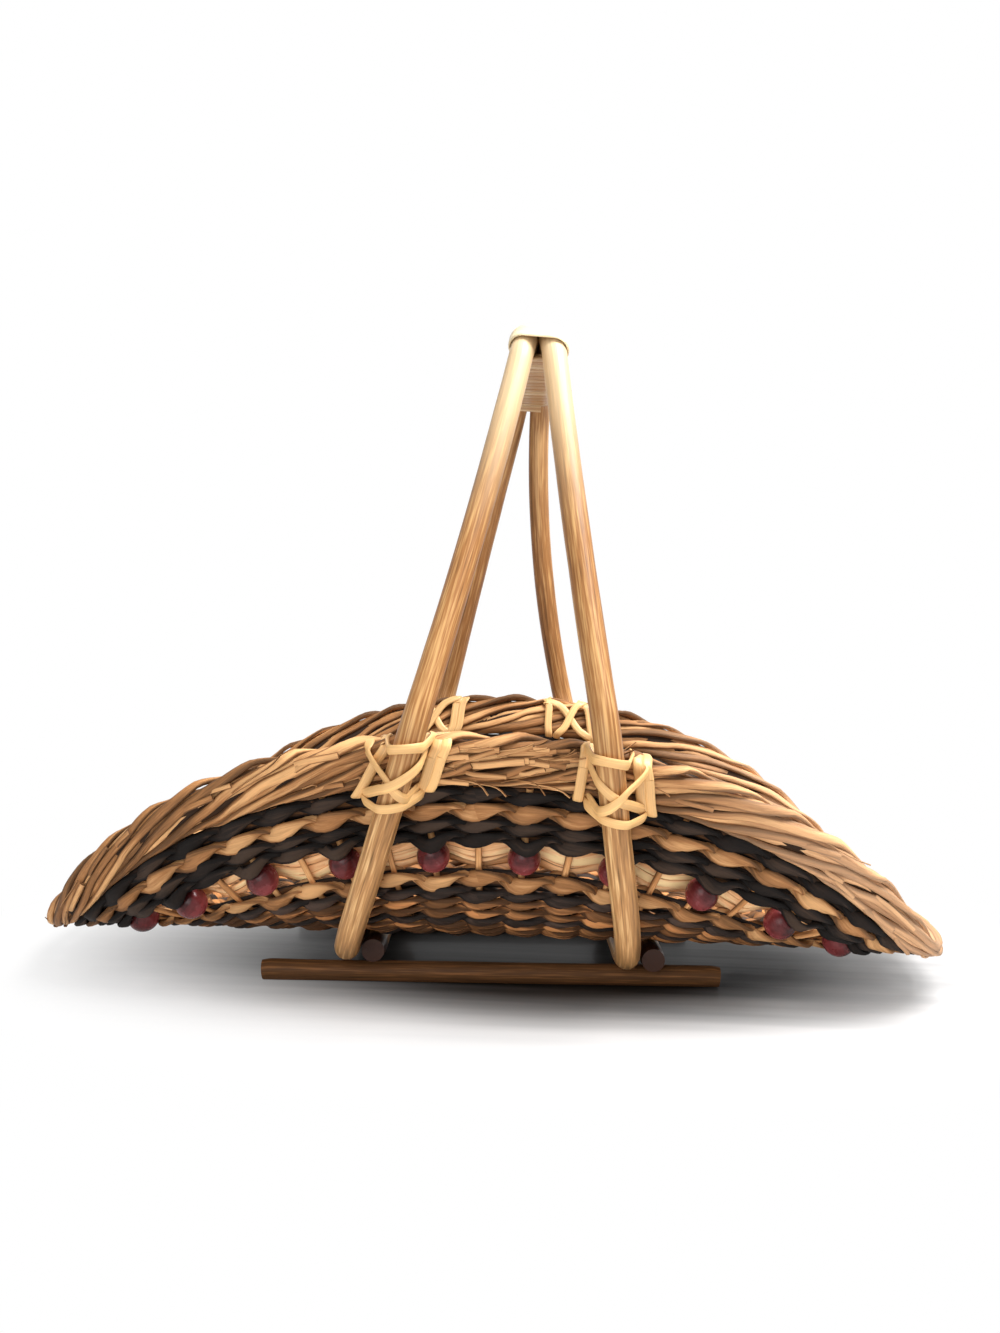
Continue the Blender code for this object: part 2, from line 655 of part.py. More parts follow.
def over_leg(tie, start, end, lift, level=None):
    """A strip pulled over the leg between two points beside it, as points and half widths.

    It runs straight from start to end as seen along w, or straight along u at a level. Its width
    lies along the leg, so that it stays flat on it.
    """
    lean = tie.leg_run.x
    widen = math.hypot(1.0, lean)
    slope = (end.y - start.y) / (end.x - start.x) if level is None else 0.0
    v_start = start.y if level is None else level
    gap = POLE_RADIUS + CLEARANCE
    angles = []
    for foot in (start, end):
        leg = tie.leg_at(foot.y if level is None else level)
        aside, drop = (foot.x - leg.x) / widen, foot.z - leg.z
        pull = math.acos((gap + HALF_STRIP + lift) / math.hypot(aside, drop))
        angles.append(math.copysign(math.atan2(abs(aside), drop) - pull, aside))
    step = (angles[1] - angles[0]) / LASHING_ARC_STEPS
    reach = gap / math.cos(step / 2.0) + HALF_STRIP + lift
    narrowing = abs(1.0 - lean * slope) / math.hypot(1.0, slope)
    half = tie.leg_run * math.copysign(LASHING_STRIP_WIDTH / 2.0 / narrowing, start.x - end.x)
    route = []
    for index in range(LASHING_ARC_STEPS + 1):
        angle = angles[0] + step * index
        u = tie.leg_at(v_start - slope * start.x).x + widen * reach * math.sin(angle)
        u /= 1.0 - lean * slope
        v = v_start + slope * (u - start.x) if level is None else level
        route.append((Vector((u, v, tie.leg_at(v).z + reach * math.cos(angle))), half))
    return route


def slot_place(tie, side):
    """Where the crossed strip and the lower band pass through the slot on one side of the leg."""
    return tie.beside_stakes(tie.leg_at(TIE_SLOT).x + side * CROSS_HALF_WIDTH)


def side_place(tie, side):
    """Where the loop beside the leg goes: outside the crossed strip, and clear of the stakes."""
    crossed = slot_place(tie, side) + side * (LASHING_STRIP_WIDTH + LASHING_LIFT + CLEARANCE)
    return tie.beside_stakes(side * max(SIDE_LOOP_PLACE, side * crossed))


def round_border(u_rim, u_slot, lift):
    """The rest of a loop after it reaches the slot: in through it, up behind and over the rim."""
    behind = -TIE_FACE - lift
    places = [(u_slot, TIE_LOW, TIE_FACE), (u_slot, TIE_SLOT, TIE_TURN), (u_slot, TIE_SLOT, -TIE_TURN)]
    places += [(u_slot, TIE_LOW, behind), (u_rim, TIE_HIGH, behind)]
    places += [(u_rim, TIE_RIM, -TIE_TURN), (u_rim, TIE_RIM, TIE_TURN)]
    return [(Vector(place), -ALONG) for place in places]


def crossed_strip(tie, side, lift):
    """A strip from the rim on one side over the leg to the slot on the other, and back behind."""
    start = Vector((tie.leg_at(TIE_RIM).x + side * CROSS_HALF_WIDTH, TIE_HIGH, TIE_FACE))
    end = Vector((slot_place(tie, -side), TIE_LOW, TIE_FACE))
    over = over_leg(tie, start, end, lift)
    return [(start, -ALONG)] + over + round_border(start.x, end.x, lift)


def side_loop(tie, side):
    """A strip straight round the border beside the leg."""
    u = side_place(tie, side)
    return [(Vector((u, TIE_HIGH, TIE_FACE)), -ALONG)] + round_border(u, u, 0.0)


def top_band(tie):
    """A strip over the leg just above the rim, both its ends turned down behind the border."""
    level = BORDER_WIDTH / 2.0 + TOP_BAND_RISE
    centre = tie.leg_at(level).x
    lift = 1.5 * LASHING_LIFT
    profile = [(TIE_HIGH + lift - TIE_CORNER_CUT, -TIE_FACE - lift), (TIE_HIGH + lift, -TIE_FACE - lift)]
    profile += [(TIE_RIM + lift, -TIE_TURN), (TIE_RIM + lift, TIE_SHOULDER)]
    left = [(Vector((centre - TOP_BAND_HALF_WIDTH, v, w)), -ALONG) for v, w in profile]
    right = [(Vector((centre + TOP_BAND_HALF_WIDTH, v, w)), ALONG) for v, w in reversed(profile)]
    return left + over_leg(tie, left[-1][0], right[0][0], 0.0, level) + right


def lower_band(tie):
    """A strip over the leg just below the border, its two ends turned in through the slot."""
    left = slot_place(tie, -1.0) - LASHING_LIFT
    right = slot_place(tie, 1.0) + LASHING_LIFT
    v = TIE_SLOT - LASHING_LIFT / 2.0
    start, end = Vector((left, v, TIE_SHOULDER)), Vector((right, v, TIE_SHOULDER))
    route = [(Vector((left, v, 0.0)), ALONG), (start, ALONG)]
    route += over_leg(tie, start, end, LASHING_LIFT, TIE_SLOT - LOWER_BAND_DROP)
    return route + [(end, -ALONG), (Vector((right, v, 0.0)), -ALONG)]


def back_run(tie):
    """A strip along the back of the border that joins the loops."""
    left = side_place(tie, -1.0) - LASHING_STRIP_WIDTH / 4.0
    right = side_place(tie, 1.0) + LASHING_STRIP_WIDTH / 4.0
    v = TIE_HIGH - TIE_CORNER_CUT
    w = -TIE_FACE - LASHING_LIFT / 2.0
    steps = 4
    places = [left + (right - left) * step / steps for step in range(steps + 1)]
    return [(Vector((u, v, w)), ACROSS) for u in places]


def add_lashing(name, side, back, group, helpers, material):
    """One tie: strips crossed over the leg, a loop beside it each way, and a band above and below."""
    tie = Tie(side, back)
    closed_routes = [crossed_strip(tie, -1.0, 0.0), crossed_strip(tie, 1.0, LASHING_LIFT)]
    closed_routes += [side_loop(tie, -1.0), side_loop(tie, 1.0)]
    open_routes = [top_band(tie), lower_band(tie), back_run(tie)]
    strips = []
    for index, route in enumerate(closed_routes + open_routes):
        pairs = [(tie.from_tie(point - half), tie.from_tie(point + half)) for point, half in route]
        closed = index < len(closed_routes)
        where = helpers if index else group
        part = f"{name}_strip_{index}" if index else name
        strip = add_strip(part, pairs, closed, LASHING_STRIP_THICKNESS, where, material)
        strip.modifiers.new("Flat faces", "TRIANGULATE")
        strips.append(strip)
    for strip in strips[1:]:
        add_union(strips[0], strip)
    add_weld(strips[0])


def main():
    clear_scene()
    parts = collection("wicker_flower_basket")
    helpers = collection("helpers")
    looks = make_materials()

    add_runner("runner_front", -RUNNER_SETBACK, parts, looks["brown stick"])
    add_runner("runner_back", RUNNER_SETBACK, parts, looks["brown stick"])
    for name, side in (("hoop_left", -1.0), ("hoop_right", 1.0)):
        add_tube(name, [hoop_path(side)], POLE_DIAMETER, 2, parts, looks["rattan pole"])
    add_wrap(parts, looks["pale cane"])

    add_floor(parts, looks["tan rush"])
    for parity, (name, (outer_edge, inner_edge, look)) in enumerate(ROWS.items()):
        add_row(name, parity, (outer_edge, inner_edge), parts, looks[look])
    add_border(parts, helpers, looks["tan rush"])
    add_beads(parts, looks["maroon bead"])
    for depth_word, back in (("front", False), ("back", True)):
        for side_word, side in (("left", -1.0), ("right", 1.0)):
            name = f"lashing_{depth_word}_{side_word}"
            add_lashing(name, side, back, parts, helpers, looks["pale cane"])


main()
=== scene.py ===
"""Wicker flower basket: its woven surfaces, poles, lashings and beads, and the stage it stands on.

The basket is an oval mat bent into a trough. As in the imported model, a place on the mat is given on
the flat sheet, by x along it and s across it, and by its height off the middle of the thickness,
positive on the outer, lower face. Metres and radians throughout.
"""
import json
import math

import bmesh
import bpy
import numpy as np
from bpy.props import FloatProperty, FloatVectorProperty, IntProperty, PointerProperty
from mathutils import Matrix, Vector


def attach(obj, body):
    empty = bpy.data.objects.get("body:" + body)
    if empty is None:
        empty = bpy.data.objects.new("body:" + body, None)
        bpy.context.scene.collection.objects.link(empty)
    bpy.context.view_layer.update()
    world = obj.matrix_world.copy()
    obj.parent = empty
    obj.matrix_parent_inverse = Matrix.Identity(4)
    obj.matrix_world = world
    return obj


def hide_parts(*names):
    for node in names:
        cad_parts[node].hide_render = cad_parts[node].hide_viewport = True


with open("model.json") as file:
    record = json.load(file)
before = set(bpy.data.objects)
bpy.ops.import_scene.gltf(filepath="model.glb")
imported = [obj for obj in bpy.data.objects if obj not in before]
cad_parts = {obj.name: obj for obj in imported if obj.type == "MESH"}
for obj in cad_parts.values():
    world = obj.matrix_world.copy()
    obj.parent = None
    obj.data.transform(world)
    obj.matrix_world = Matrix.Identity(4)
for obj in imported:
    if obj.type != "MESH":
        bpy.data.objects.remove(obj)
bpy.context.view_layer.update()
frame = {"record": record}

bl_info = {
    "name": "Wicker Flower Basket",
    "version": (1, 0, 0),
    "blender": (4, 5, 0),
    "location": "View3D > Sidebar > Basket",
    "description": "Weaves a beaded oval basket on its packed model",
    "category": "Add Mesh",
}

FULL_TURN = 2.0 * math.pi
HALF_TURN = math.pi
CUT_TONE = -1.0
SAME_PLACE = 0.000001
CUT_EDGE = math.radians(55.0)

# The sheet and how it is bent
HALF_LENGTH = 0.2205
HALF_WIDTH = 0.170
FLOOR_HALF_WIDTH = 0.041
BEND_RADIUS = 0.048
SIDE_SLOPE = math.radians(66.5)
TIP_SAG = 0.0035
SAG_START = 0.100
MAT_THICKNESS = 0.008
ARC_END = FLOOR_HALF_WIDTH + BEND_RADIUS * SIDE_SLOPE

# Rows, from the rim inwards
BORDER_WIDTH = 0.0215
BORDER_THICKNESS = 0.010
LASHING_SLOT = 0.0024
DARK_ROW_WIDTH = 0.0052
TAN_ROW_WIDTH = 0.0075
ROW_GAP = 0.0011
TIP_PACKING = 0.48
OPEN_ROW_WIDTH = 0.0155
FLOOR_ROW_WIDTH = 0.0057
STAKE_RADIUS = 0.00135
BEAD_COUNT = 24
BEAD_DIAMETER = 0.0145
BEAD_LENGTH = 0.0140
BORE_PLAY = 0.00042
BORE_CHAMFER = 0.0004
DARK_FLOOR_ROWS = (0, 3, 7, 11)
STRAND_WANDER = 0.00045
STRAND_RIPPLE = 0.0002
STITCH_SHIFT = 0.12
TIP_THINNING = 0.34

# Hoops, runners and the cane on them
POLE_RADIUS = 0.0059
POLE_PITCH = 0.0121
POLE_END = 0.058
POLE_END_SHIFT = 0.0124
HOOP_HEIGHT = 0.304
HOOP_TURN = math.radians(3.8)
FOOT_CENTRE = -0.0027
FOOT_SPREAD = 0.130
TIE_CENTRE = 0.0049
FRONT_TIE_SPREAD = 0.084
BACK_TIE_SPREAD = 0.0776
TOP_CENTRE = 0.0175
FRONT_SLOPE = math.radians(65.0)
BACK_SLOPE = math.radians(85.0)
TOP_BEND_RADIUS = 0.024
TIE_BEND_RADIUS = 0.026
TIE_CORNER_RISE = 0.0075
RUNNER_RADIUS = 0.005
RUNNER_LENGTH = 0.215
RUNNER_SETBACK = 0.050
WRAP_WIDTH = 0.0078
WRAP_PITCH = 0.00825
WRAP_THICKNESS = 0.0012
WRAP_FRONT_TURN = math.radians(57.0)
WRAP_BACK_TURN = math.radians(36.0)
CLEARANCE = 0.0003
LASHING_CLEARANCE = 0.0005
LASHING_WIDTH = 0.0032
LASHING_THICKNESS = 0.0010
BAND_LIFT = 0.0006
WORN_END = 0.93
STRAIGHT_STEP = 0.015

RUN_HEIGHT = 2.0 * RUNNER_RADIUS * math.cos(math.radians(15.0)) + CLEARANCE + POLE_RADIUS
MAT_HEIGHT = RUN_HEIGHT + POLE_RADIUS + CLEARANCE + MAT_THICKNESS / 2.0
HALF_STRIP = LASHING_THICKNESS / 2.0
TIE_FACE = BORDER_THICKNESS / 2.0 + LASHING_CLEARANCE + HALF_STRIP
TIE_RIM = BORDER_WIDTH / 2.0 + LASHING_CLEARANCE + HALF_STRIP
TIE_SLOT = -(BORDER_WIDTH + LASHING_SLOT) / 2.0


def colour_property(name, description, default):
    return FloatVectorProperty(name=name, description=description, default=default, size=3,
                               min=0.0, max=1.0, subtype="COLOR")


class BasketWeaveSettings(bpy.types.PropertyGroup):
    twist: FloatProperty(name="Twist", description="How far a strand climbs across its row",
                         default=0.0017, min=0.0, unit="LENGTH")
    lift: FloatProperty(name="Lift",
                        description="How far a strand stands off the middle of the mat",
                        default=0.0029, min=0.0, unit="LENGTH")
    lag: FloatProperty(name="Lag", description="How late a strand dives behind the next one",
                       default=0.45, min=0.0, max=1.2, subtype="ANGLE")
    steps: IntProperty(name="Steps", description="Steps along a strand from one stake to the next",
                       default=8, min=3, max=16)
    border_lines: IntProperty(name="Border lines", description="Lines in each strand of the border",
                              default=2, min=2, max=5)
    border_lay: IntProperty(name="Border lay",
                            description="Stakes that a border strand passes in a turn",
                            default=8, min=4, max=14)
    tan: colour_property("Tan", "Colour of the plain strands", (0.53, 0.242, 0.088))
    pale: colour_property("Pale", "Colour of the strands' sunlit fibres", (0.76, 0.42, 0.180))
    brown: colour_property("Brown", "Colour of the floor's brown strands", (0.27, 0.117, 0.042))
    dark: colour_property("Dark", "Colour of the dyed strands", (0.024, 0.015, 0.011))
    bead: colour_property("Bead", "Colour of the beads", (0.150, 0.0240, 0.0250))


class BasketFrameSettings(bpy.types.PropertyGroup):
    pole: colour_property("Pole", "Colour of the bent poles", (0.32, 0.141, 0.044))
    pole_pale: colour_property("Pale streaks", "Colour of the poles' pale fibres",
                               (0.50, 0.282, 0.110))
    cane: colour_property("Cane", "Colour of the wrap", (0.86, 0.70, 0.43))
    tie: colour_property("Lashings", "Colour of the lashings", (0.78, 0.46, 0.18))
    stick: colour_property("Runners", "Colour of the runners", (0.080, 0.029, 0.0078))


class BasketStageSettings(bpy.types.PropertyGroup):
    lens: FloatProperty(name="Lens", description="Focal length of the camera in millimetres",
                        default=40.8, min=10.0)
    key: FloatProperty(name="Key light", description="Power of the lamp at the upper left",
                       default=5.5, min=0.0, unit="POWER")
    top: FloatProperty(name="Top light",
                       description="Power of the lamp overhead, behind and to the right",
                       default=34.0, min=0.0, unit="POWER")
    world: FloatProperty(name="Sky light", description="Strength of the light from all sides",
                         default=0.32, min=0.0)


class Term:
    """A socket of a material, which Python's operators join by Math nodes."""

    def __init__(self, recipe, socket):
        self.recipe = recipe
        self.socket = socket

    def __add__(self, other):
        return self.recipe.maths("ADD", self, other)

    def __sub__(self, other):
        return self.recipe.maths("SUBTRACT", self, other)

    def __rsub__(self, other):
        return self.recipe.maths("SUBTRACT", other, self)

    def __mul__(self, other):
        return self.recipe.maths("MULTIPLY", self, other)

    def __pow__(self, other):
        return self.recipe.maths("POWER", self, other)

    __radd__ = __add__
    __rmul__ = __mul__


class Recipe:
    """A new material or world and the nodes that make its look."""

    def __init__(self, owner, shader="ShaderNodeBsdfPrincipled", output="ShaderNodeOutputMaterial"):
        self.owner = owner
        owner.use_nodes = True
        self.tree = owner.node_tree
        self.tree.nodes.clear()
        self.surface = self.tree.nodes.new(output).inputs["Surface"]
        self.shader = self.node(shader)
        self.link(self.shader, self.surface)

    def link(self, value, socket):
        """Link a term to a socket, or set the socket to a number, vector or colour."""
        if isinstance(value, Term):
            self.tree.links.new(value.socket, socket)
        else:
            socket.default_value = (*value, 1.0) if socket.type == "RGBA" else value

    def node(self, kind, settings=None, inputs=None, output=0):
        """Add a node, set its settings and then its sockets, and give the named output."""
        made = self.tree.nodes.new(kind)
        for name, value in (settings or {}).items():
            if name == "stops":
                elements = made.color_ramp.elements
                while len(elements) < len(value):
                    elements.new(1.0)
                for element, (place, colour) in zip(elements, value):
                    element.position = place
                    element.color = (*colour, 1.0)
            else:
                setattr(made, name, value)
        for name, value in (inputs or {}).items():
            self.link(value, made.inputs[name])
        return Term(self, made.outputs[output])

    def maths(self, operation, first, second=0.0):
        return self.node("ShaderNodeMath", {"operation": operation}, {0: first, 1: second})

    def vector_maths(self, operation, first, second=(0.0, 0.0, 0.0), output=0):
        return self.node("ShaderNodeVectorMath", {"operation": operation}, {0: first, 1: second},
                         output)

    def noise(self, vector, scale, detail=2.0, roughness=0.5):
        return self.node("ShaderNodeTexNoise", None, {
            "Vector": vector, "Scale": scale, "Detail": detail, "Roughness": roughness})

    def ramp(self, factor, stops):
        return self.node("ShaderNodeValToRGB", {"stops": stops}, {"Fac": factor})

    def mixed(self, factor, first, second):
        return self.node("ShaderNodeMix", {"data_type": "RGBA"},
                         {0: factor, 6: first, 7: second}, 2)

    def ranged(self, value, start, end, low=0.0, high=1.0, kind="SMOOTHSTEP"):
        """From low where the value is at the start to high where it is at the end."""
        return self.node("ShaderNodeMapRange", {"interpolation_type": kind}, {
            "Value": value, "From Min": start, "From Max": end, "To Min": low, "To Max": high})

    def varied(self, middle, *parts):
        """The middle plus how far each part is from a half, times the part's weight."""
        for part, weight in parts:
            middle = (part - 0.5) * weight + middle
        return middle

    def bump(self, height, distance, strength=1.0):
        return self.node("ShaderNodeBump", None, {
            "Height": height, "Distance": distance, "Strength": strength})

    def place(self):
        return self.node("ShaderNodeTexCoord", None, None, "Object")

    def axis(self, vector, number):
        return self.node("ShaderNodeSeparateXYZ", None, {0: vector}, number)

    def tone(self):
        return self.node("ShaderNodeAttribute", {"attribute_name": "tone"}, None, "Fac")

    def seen_directly(self, *kinds):
        """1 for a ray of any of the kinds, such as one from the camera, and 0 for the others."""
        terms = [self.node("ShaderNodeLightPath", None, None, f"Is {kind} Ray") for kind in kinds]
        seen = terms[0]
        for term in terms[1:]:
            seen = self.maths("MAXIMUM", seen, term)
        return seen

    def strand(self):
        """A strand's own coordinates: metres along it, and a circle round it as two numbers."""
        split = self.node("ShaderNodeUVMap", {"uv_map": "strand"})
        turn = self.axis(split, 1) * FULL_TURN
        return self.axis(split, 0), self.maths("COSINE", turn), self.maths("SINE", turn)

    def streaks(self, strand, lengthwise, crosswise, detail=2.0, roughness=0.5):
        """Noise on a strand's own coordinates, at one scale along it and another round it."""
        along, side, front = strand
        vector = self.node("ShaderNodeCombineXYZ", None, {
            0: along * lengthwise, 1: side * crosswise, 2: front * crosswise})
        return self.noise(vector, 1.0, detail, roughness)

    def finish(self, **inputs):
        """Link or set the shader's sockets, whose names have _ for a space."""
        for name, value in inputs.items():
            self.link(value, self.shader.socket.node.inputs[name.replace("_", " ")])
        return self.owner


def scaled(colour, factor):
    """A colour times one factor, or times one for each of its parts, and nowhere over 1."""
    return tuple(np.minimum(np.array(list(colour)) * factor, 1.0).tolist())


def fibre_material(name, base, pale, roughness=0.66, contrast=1.0, lit_right_tip=False):
    """A twisted strand of dry fibres: long streaks, each stitch a little lighter or darker.

    It is darker at its two edges, painted shade between neighbouring strands, and where asked it
    grows paler towards the right tip, painted light.
    """
    recipe = Recipe(bpy.data.materials.new(name))
    strand = recipe.strand()
    place = recipe.place()
    coarse = recipe.streaks(strand, 45.0, 1.1)
    fine = recipe.streaks(strand, 90.0, 4.2, 3.0, 0.65)
    patch = recipe.noise(place, 16.0, 1.0)
    weight = 0.55 * contrast
    # Painted shade: darker towards both edges of the strand, where it meets its neighbours.
    edge = strand[1] ** 4.0 * weight
    factor = recipe.varied(0.60, (coarse, 0.7), (fine, 0.8), (patch, 0.5),
                           (recipe.tone(), weight)) - edge
    colour = recipe.ramp(factor, [(0.0, scaled(base, 0.30)), (0.28, scaled(base, 0.66)),
                                  (0.5, base), (0.78, pale), (1.0, scaled(pale, 1.22))])
    if lit_right_tip:
        # Painted light: paler towards the right tip, as if more lit there.
        painted_tip_light = recipe.ranged(recipe.axis(place, 0), 0.06, 0.17, 0.0, 0.45)
        colour = recipe.mixed(painted_tip_light, colour, scaled(pale, (1.15, 1.3, 1.8)))
    normal = recipe.bump(fine * 0.6 + coarse * 0.4, 0.0007, 0.8)
    return recipe.finish(Base_Color=colour, Roughness=recipe.varied(roughness, (fine, 0.3)),
                         Specular_IOR_Level=0.22, Normal=normal)


def cane_material(name, base, pale, roughness=0.42):
    """Split cane: smooth bark with fine straight lines along it and a faint gloss."""
    recipe = Recipe(bpy.data.materials.new(name))
    strand = recipe.strand()
    lines = recipe.streaks(strand, 9.0, 7.0, 3.0, 0.6)
    stain = recipe.streaks(strand, 26.0, 0.9)
    factor = recipe.varied(0.5, (lines, 1.05), (stain, 0.7), (recipe.tone(), 0.5))
    colour = recipe.ramp(factor, [(0.0, scaled(base, (0.42, 0.29, 0.20))),
                                  (0.3, scaled(base, 0.80)), (0.55, base), (1.0, pale)])
    return recipe.finish(Base_Color=colour, Roughness=recipe.varied(roughness, (stain, 0.25)),
                         Coat_Weight=0.12, Normal=recipe.bump(lines, 0.0003, 0.6))


def wood_material(name, base, pale, roughness, grain=1.0):
    """A peeled pole: straight grain, short pale flecks and slow changes of colour along it.

    It is brighter below, painted light as if lit from low in front, and paler towards the top, most
    of all in front, a painted highlight. The tone is below nought on the cut ends, which are plain
    and dark.
    """
    recipe = Recipe(bpy.data.materials.new(name))
    strand = recipe.strand()
    place = recipe.place()
    grain_lines = recipe.streaks(strand, 14.0, 3.4, 4.0, 0.62)
    flecks = recipe.streaks(strand, 60.0, 7.5)
    slow = recipe.streaks(strand, 7.0, 0.6)
    factor = recipe.varied(0.48, (grain_lines, 1.5 * grain), (flecks, 1.2 * grain), (slow, 0.9))
    stops = [(0.0, scaled(base, 0.34)), (0.30, scaled(base, 0.78)), (0.52, base),
             (0.80, pale), (1.0, scaled(pale, 1.15))]
    # A lit copy of the stops, used for the painted light below.
    painted_lit_stops = [(at, scaled(shade, (1.6, 1.85, 2.2))) for at, shade in stops]
    y, z = recipe.axis(place, 1), recipe.axis(place, 2)
    # Painted light: brighter towards the bottom. Painted highlight: paler towards the top, most in
    # front.
    painted_low_light = recipe.ranged(z, 0.14, 0.05)
    painted_top_highlight = (recipe.ranged(z, 0.20, 0.30, 0.0, 0.62)
                * recipe.ranged(y, 0.03, -0.03, 0.12, 1.0, "LINEAR"))
    cut = recipe.ranged(recipe.tone(), 0.1, -0.2, kind="LINEAR")
    colour = recipe.mixed(painted_low_light, recipe.ramp(factor, stops), recipe.ramp(factor, painted_lit_stops))
    colour = recipe.mixed(painted_top_highlight, colour, (0.92, 0.72, 0.44))
    colour = recipe.mixed(cut, colour, (0.050, 0.017, 0.008))
    return recipe.finish(Base_Color=colour, Roughness=recipe.varied(roughness, (flecks, 0.25)),
                         Specular_IOR_Level=0.25, Coat_Weight=0.03,
                         Normal=recipe.bump(grain_lines + flecks * 0.5, 0.0004, 0.5))


def bead_material(base):
    """Turned wood stained dark red: rings of the lathe, darker clouds and a soft polish."""
    recipe = Recipe(bpy.data.materials.new("stained bead"))
    rings = recipe.streaks(recipe.strand(), 900.0, 0.5)
    clouds = recipe.noise(recipe.place(), 130.0, 3.0, 0.6)
    # The tone, which the beads set light at the bottom and dark at the top, is painted light and
    # shade.
    factor = recipe.varied(0.5, (clouds, 1.3), (rings, 0.4), (recipe.tone(), 0.9))
    colour = recipe.ramp(factor, [(0.0, scaled(base, 0.22)), (0.5, base),
                                  (1.0, scaled(base, (2.1, 2.6, 2.6)))])
    return recipe.finish(Base_Color=colour, Roughness=recipe.varied(0.27, (clouds, 0.2)),
                         Specular_IOR_Level=0.25, Coat_Weight=0.03,
                         Normal=recipe.bump(rings, 0.0002, 0.4))


def unit(vectors):
    return vectors / np.linalg.norm(vectors, axis=-1, keepdims=True)


def sheet_frame(x, s, height):
    """Points of the bent mat, the outward normals there and the directions up the sheet.

    Across the mat the sheet is flat, then a round bend, then a straight slope. Towards the tips it
    sags by the square of the distance past the start of the sag.
    """
    across = np.abs(s)
    side = np.where(s < 0.0, -1.0, 1.0)
    turn = np.clip((across - FLOOR_HALF_WIDTH) / BEND_RADIUS, 0.0, SIDE_SLOPE)
    straight = np.maximum(across - ARC_END, 0.0)
    y = (np.minimum(across, FLOOR_HALF_WIDTH) + BEND_RADIUS * np.sin(turn)
         + straight * math.cos(SIDE_SLOPE))
    rise = BEND_RADIUS * (1.0 - np.cos(turn)) + straight * math.sin(SIDE_SLOPE)
    sag = TIP_SAG * (np.maximum(np.abs(x) - SAG_START, 0.0) / (HALF_LENGTH - SAG_START)) ** 2
    middle = np.stack([x, side * y, MAT_HEIGHT + rise - sag], axis=-1)
    level = np.zeros_like(turn)
    normal = np.stack([level, side * np.sin(turn), -np.cos(turn)], axis=-1)
    upward = np.stack([level, side * np.cos(turn), np.sin(turn)], axis=-1)
    return middle + normal * np.asarray(height)[..., None], normal, upward


def ring_frame(edge, angle, height):
    """The same on the oval inside the rim by the edge's two distances, at side and tip."""
    x = (HALF_LENGTH - edge[1]) * np.cos(angle)
    return sheet_frame(x, (HALF_WIDTH - edge[0]) * np.sin(angle), height)


def step_in(edge, width, packed=True):
    """Move an edge inwards by a width, of which a packed row takes less at the tips."""
    return edge[0] + width, edge[1] + width * (TIP_PACKING if packed else 1.0)


def next_row(middle, width, next_width):
    """From the middle of one row over the gap to the middle of the next."""
    return step_in(step_in(step_in(middle, width / 2.0), ROW_GAP, False), next_width / 2.0)


RIM = (0.0, 0.0)
BORDER_MIDDLE = step_in(RIM, BORDER_WIDTH / 2.0)
BORDER_INNER = step_in(RIM, BORDER_WIDTH)
DARK_OUTER = step_in(step_in(BORDER_INNER, LASHING_SLOT, False), DARK_ROW_WIDTH / 2.0)
TAN_OUTER = next_row(DARK_OUTER, DARK_ROW_WIDTH, TAN_ROW_WIDTH)
DARK_MIDDLE = next_row(TAN_OUTER, TAN_ROW_WIDTH, DARK_ROW_WIDTH)
DARK_UPPER = next_row(DARK_MIDDLE, DARK_ROW_WIDTH, DARK_ROW_WIDTH)
OPEN_TOP = step_in(DARK_UPPER, DARK_ROW_WIDTH / 2.0)
BEAD_RING = step_in(OPEN_TOP, OPEN_ROW_WIDTH / 2.0, False)
OPEN_FOOT = step_in(OPEN_TOP, OPEN_ROW_WIDTH, False)
TAN_LOWER = step_in(OPEN_FOOT, TAN_ROW_WIDTH / 2.0)
FLOOR_EDGE = next_row(TAN_LOWER, TAN_ROW_WIDTH, 0.0)


def stake_angles(samples=4000):
    """Angles of the stakes: equal lengths along the bead ring, the first at the front middle."""
    turns = FULL_TURN * (0.75 + np.arange(samples + 1) / samples)
    middles = turns[:-1] + FULL_TURN * 0.5 / samples
    steps = np.hypot((HALF_LENGTH - BEAD_RING[1]) * np.sin(middles),
                     (HALF_WIDTH - BEAD_RING[0]) * np.cos(middles))
    lengths = np.concatenate([[0.0], np.cumsum(steps)])
    wanted = lengths[-1] * np.arange(2 * BEAD_COUNT + 1) / (2 * BEAD_COUNT)
    return np.interp(wanted, lengths, turns)


STAKE_ANGLES = stake_angles()
STAKES = len(STAKE_ANGLES) - 1


def angle_at(t):
    """Angle on the ovals at a place counted in stakes from the front middle."""
    return np.interp(t % STAKES, np.arange(STAKES + 1), STAKE_ANGLES)


def once_round(steps):
    """Places counted in stakes, all the way round, with so many steps from stake to stake."""
    return np.arange(STAKES * steps) / steps


def drift(t, period, knots, rng):
    """Slow random change from -1 to 1 along t, smooth between its knots and closed on itself."""
    values = rng.uniform(-1.0, 1.0, knots)
    place = (t / period * knots) % knots
    low = np.floor(place).astype(int)
    share = place - low
    share = share * share * (3.0 - 2.0 * share)
    return values[low % knots] * (1.0 - share) + values[(low + 1) % knots] * share


def oval_section(count, squareness=1.0):
    """Unit outline as two rows of numbers: a superellipse, rounder or squarer by its power."""
    turn = FULL_TURN * np.arange(count) / count
    return [np.sign(part) * np.abs(part) ** squareness for part in (np.cos(turn), np.sin(turn))]


def length_along(centres):
    """Length of each line up to each of its points."""
    steps = np.linalg.norm(np.diff(centres, axis=1), axis=-1)
    return np.concatenate([np.zeros((len(centres), 1)), np.cumsum(steps, axis=1)], axis=1)


def add_object(name, mesh, material):
    """Show a mesh, smooth and in its material, as an object at the origin."""
    mesh.shade_smooth()
    mesh.materials.append(material)
    made = bpy.data.objects.new(name, mesh)
    bpy.context.scene.collection.objects.link(made)
    return made


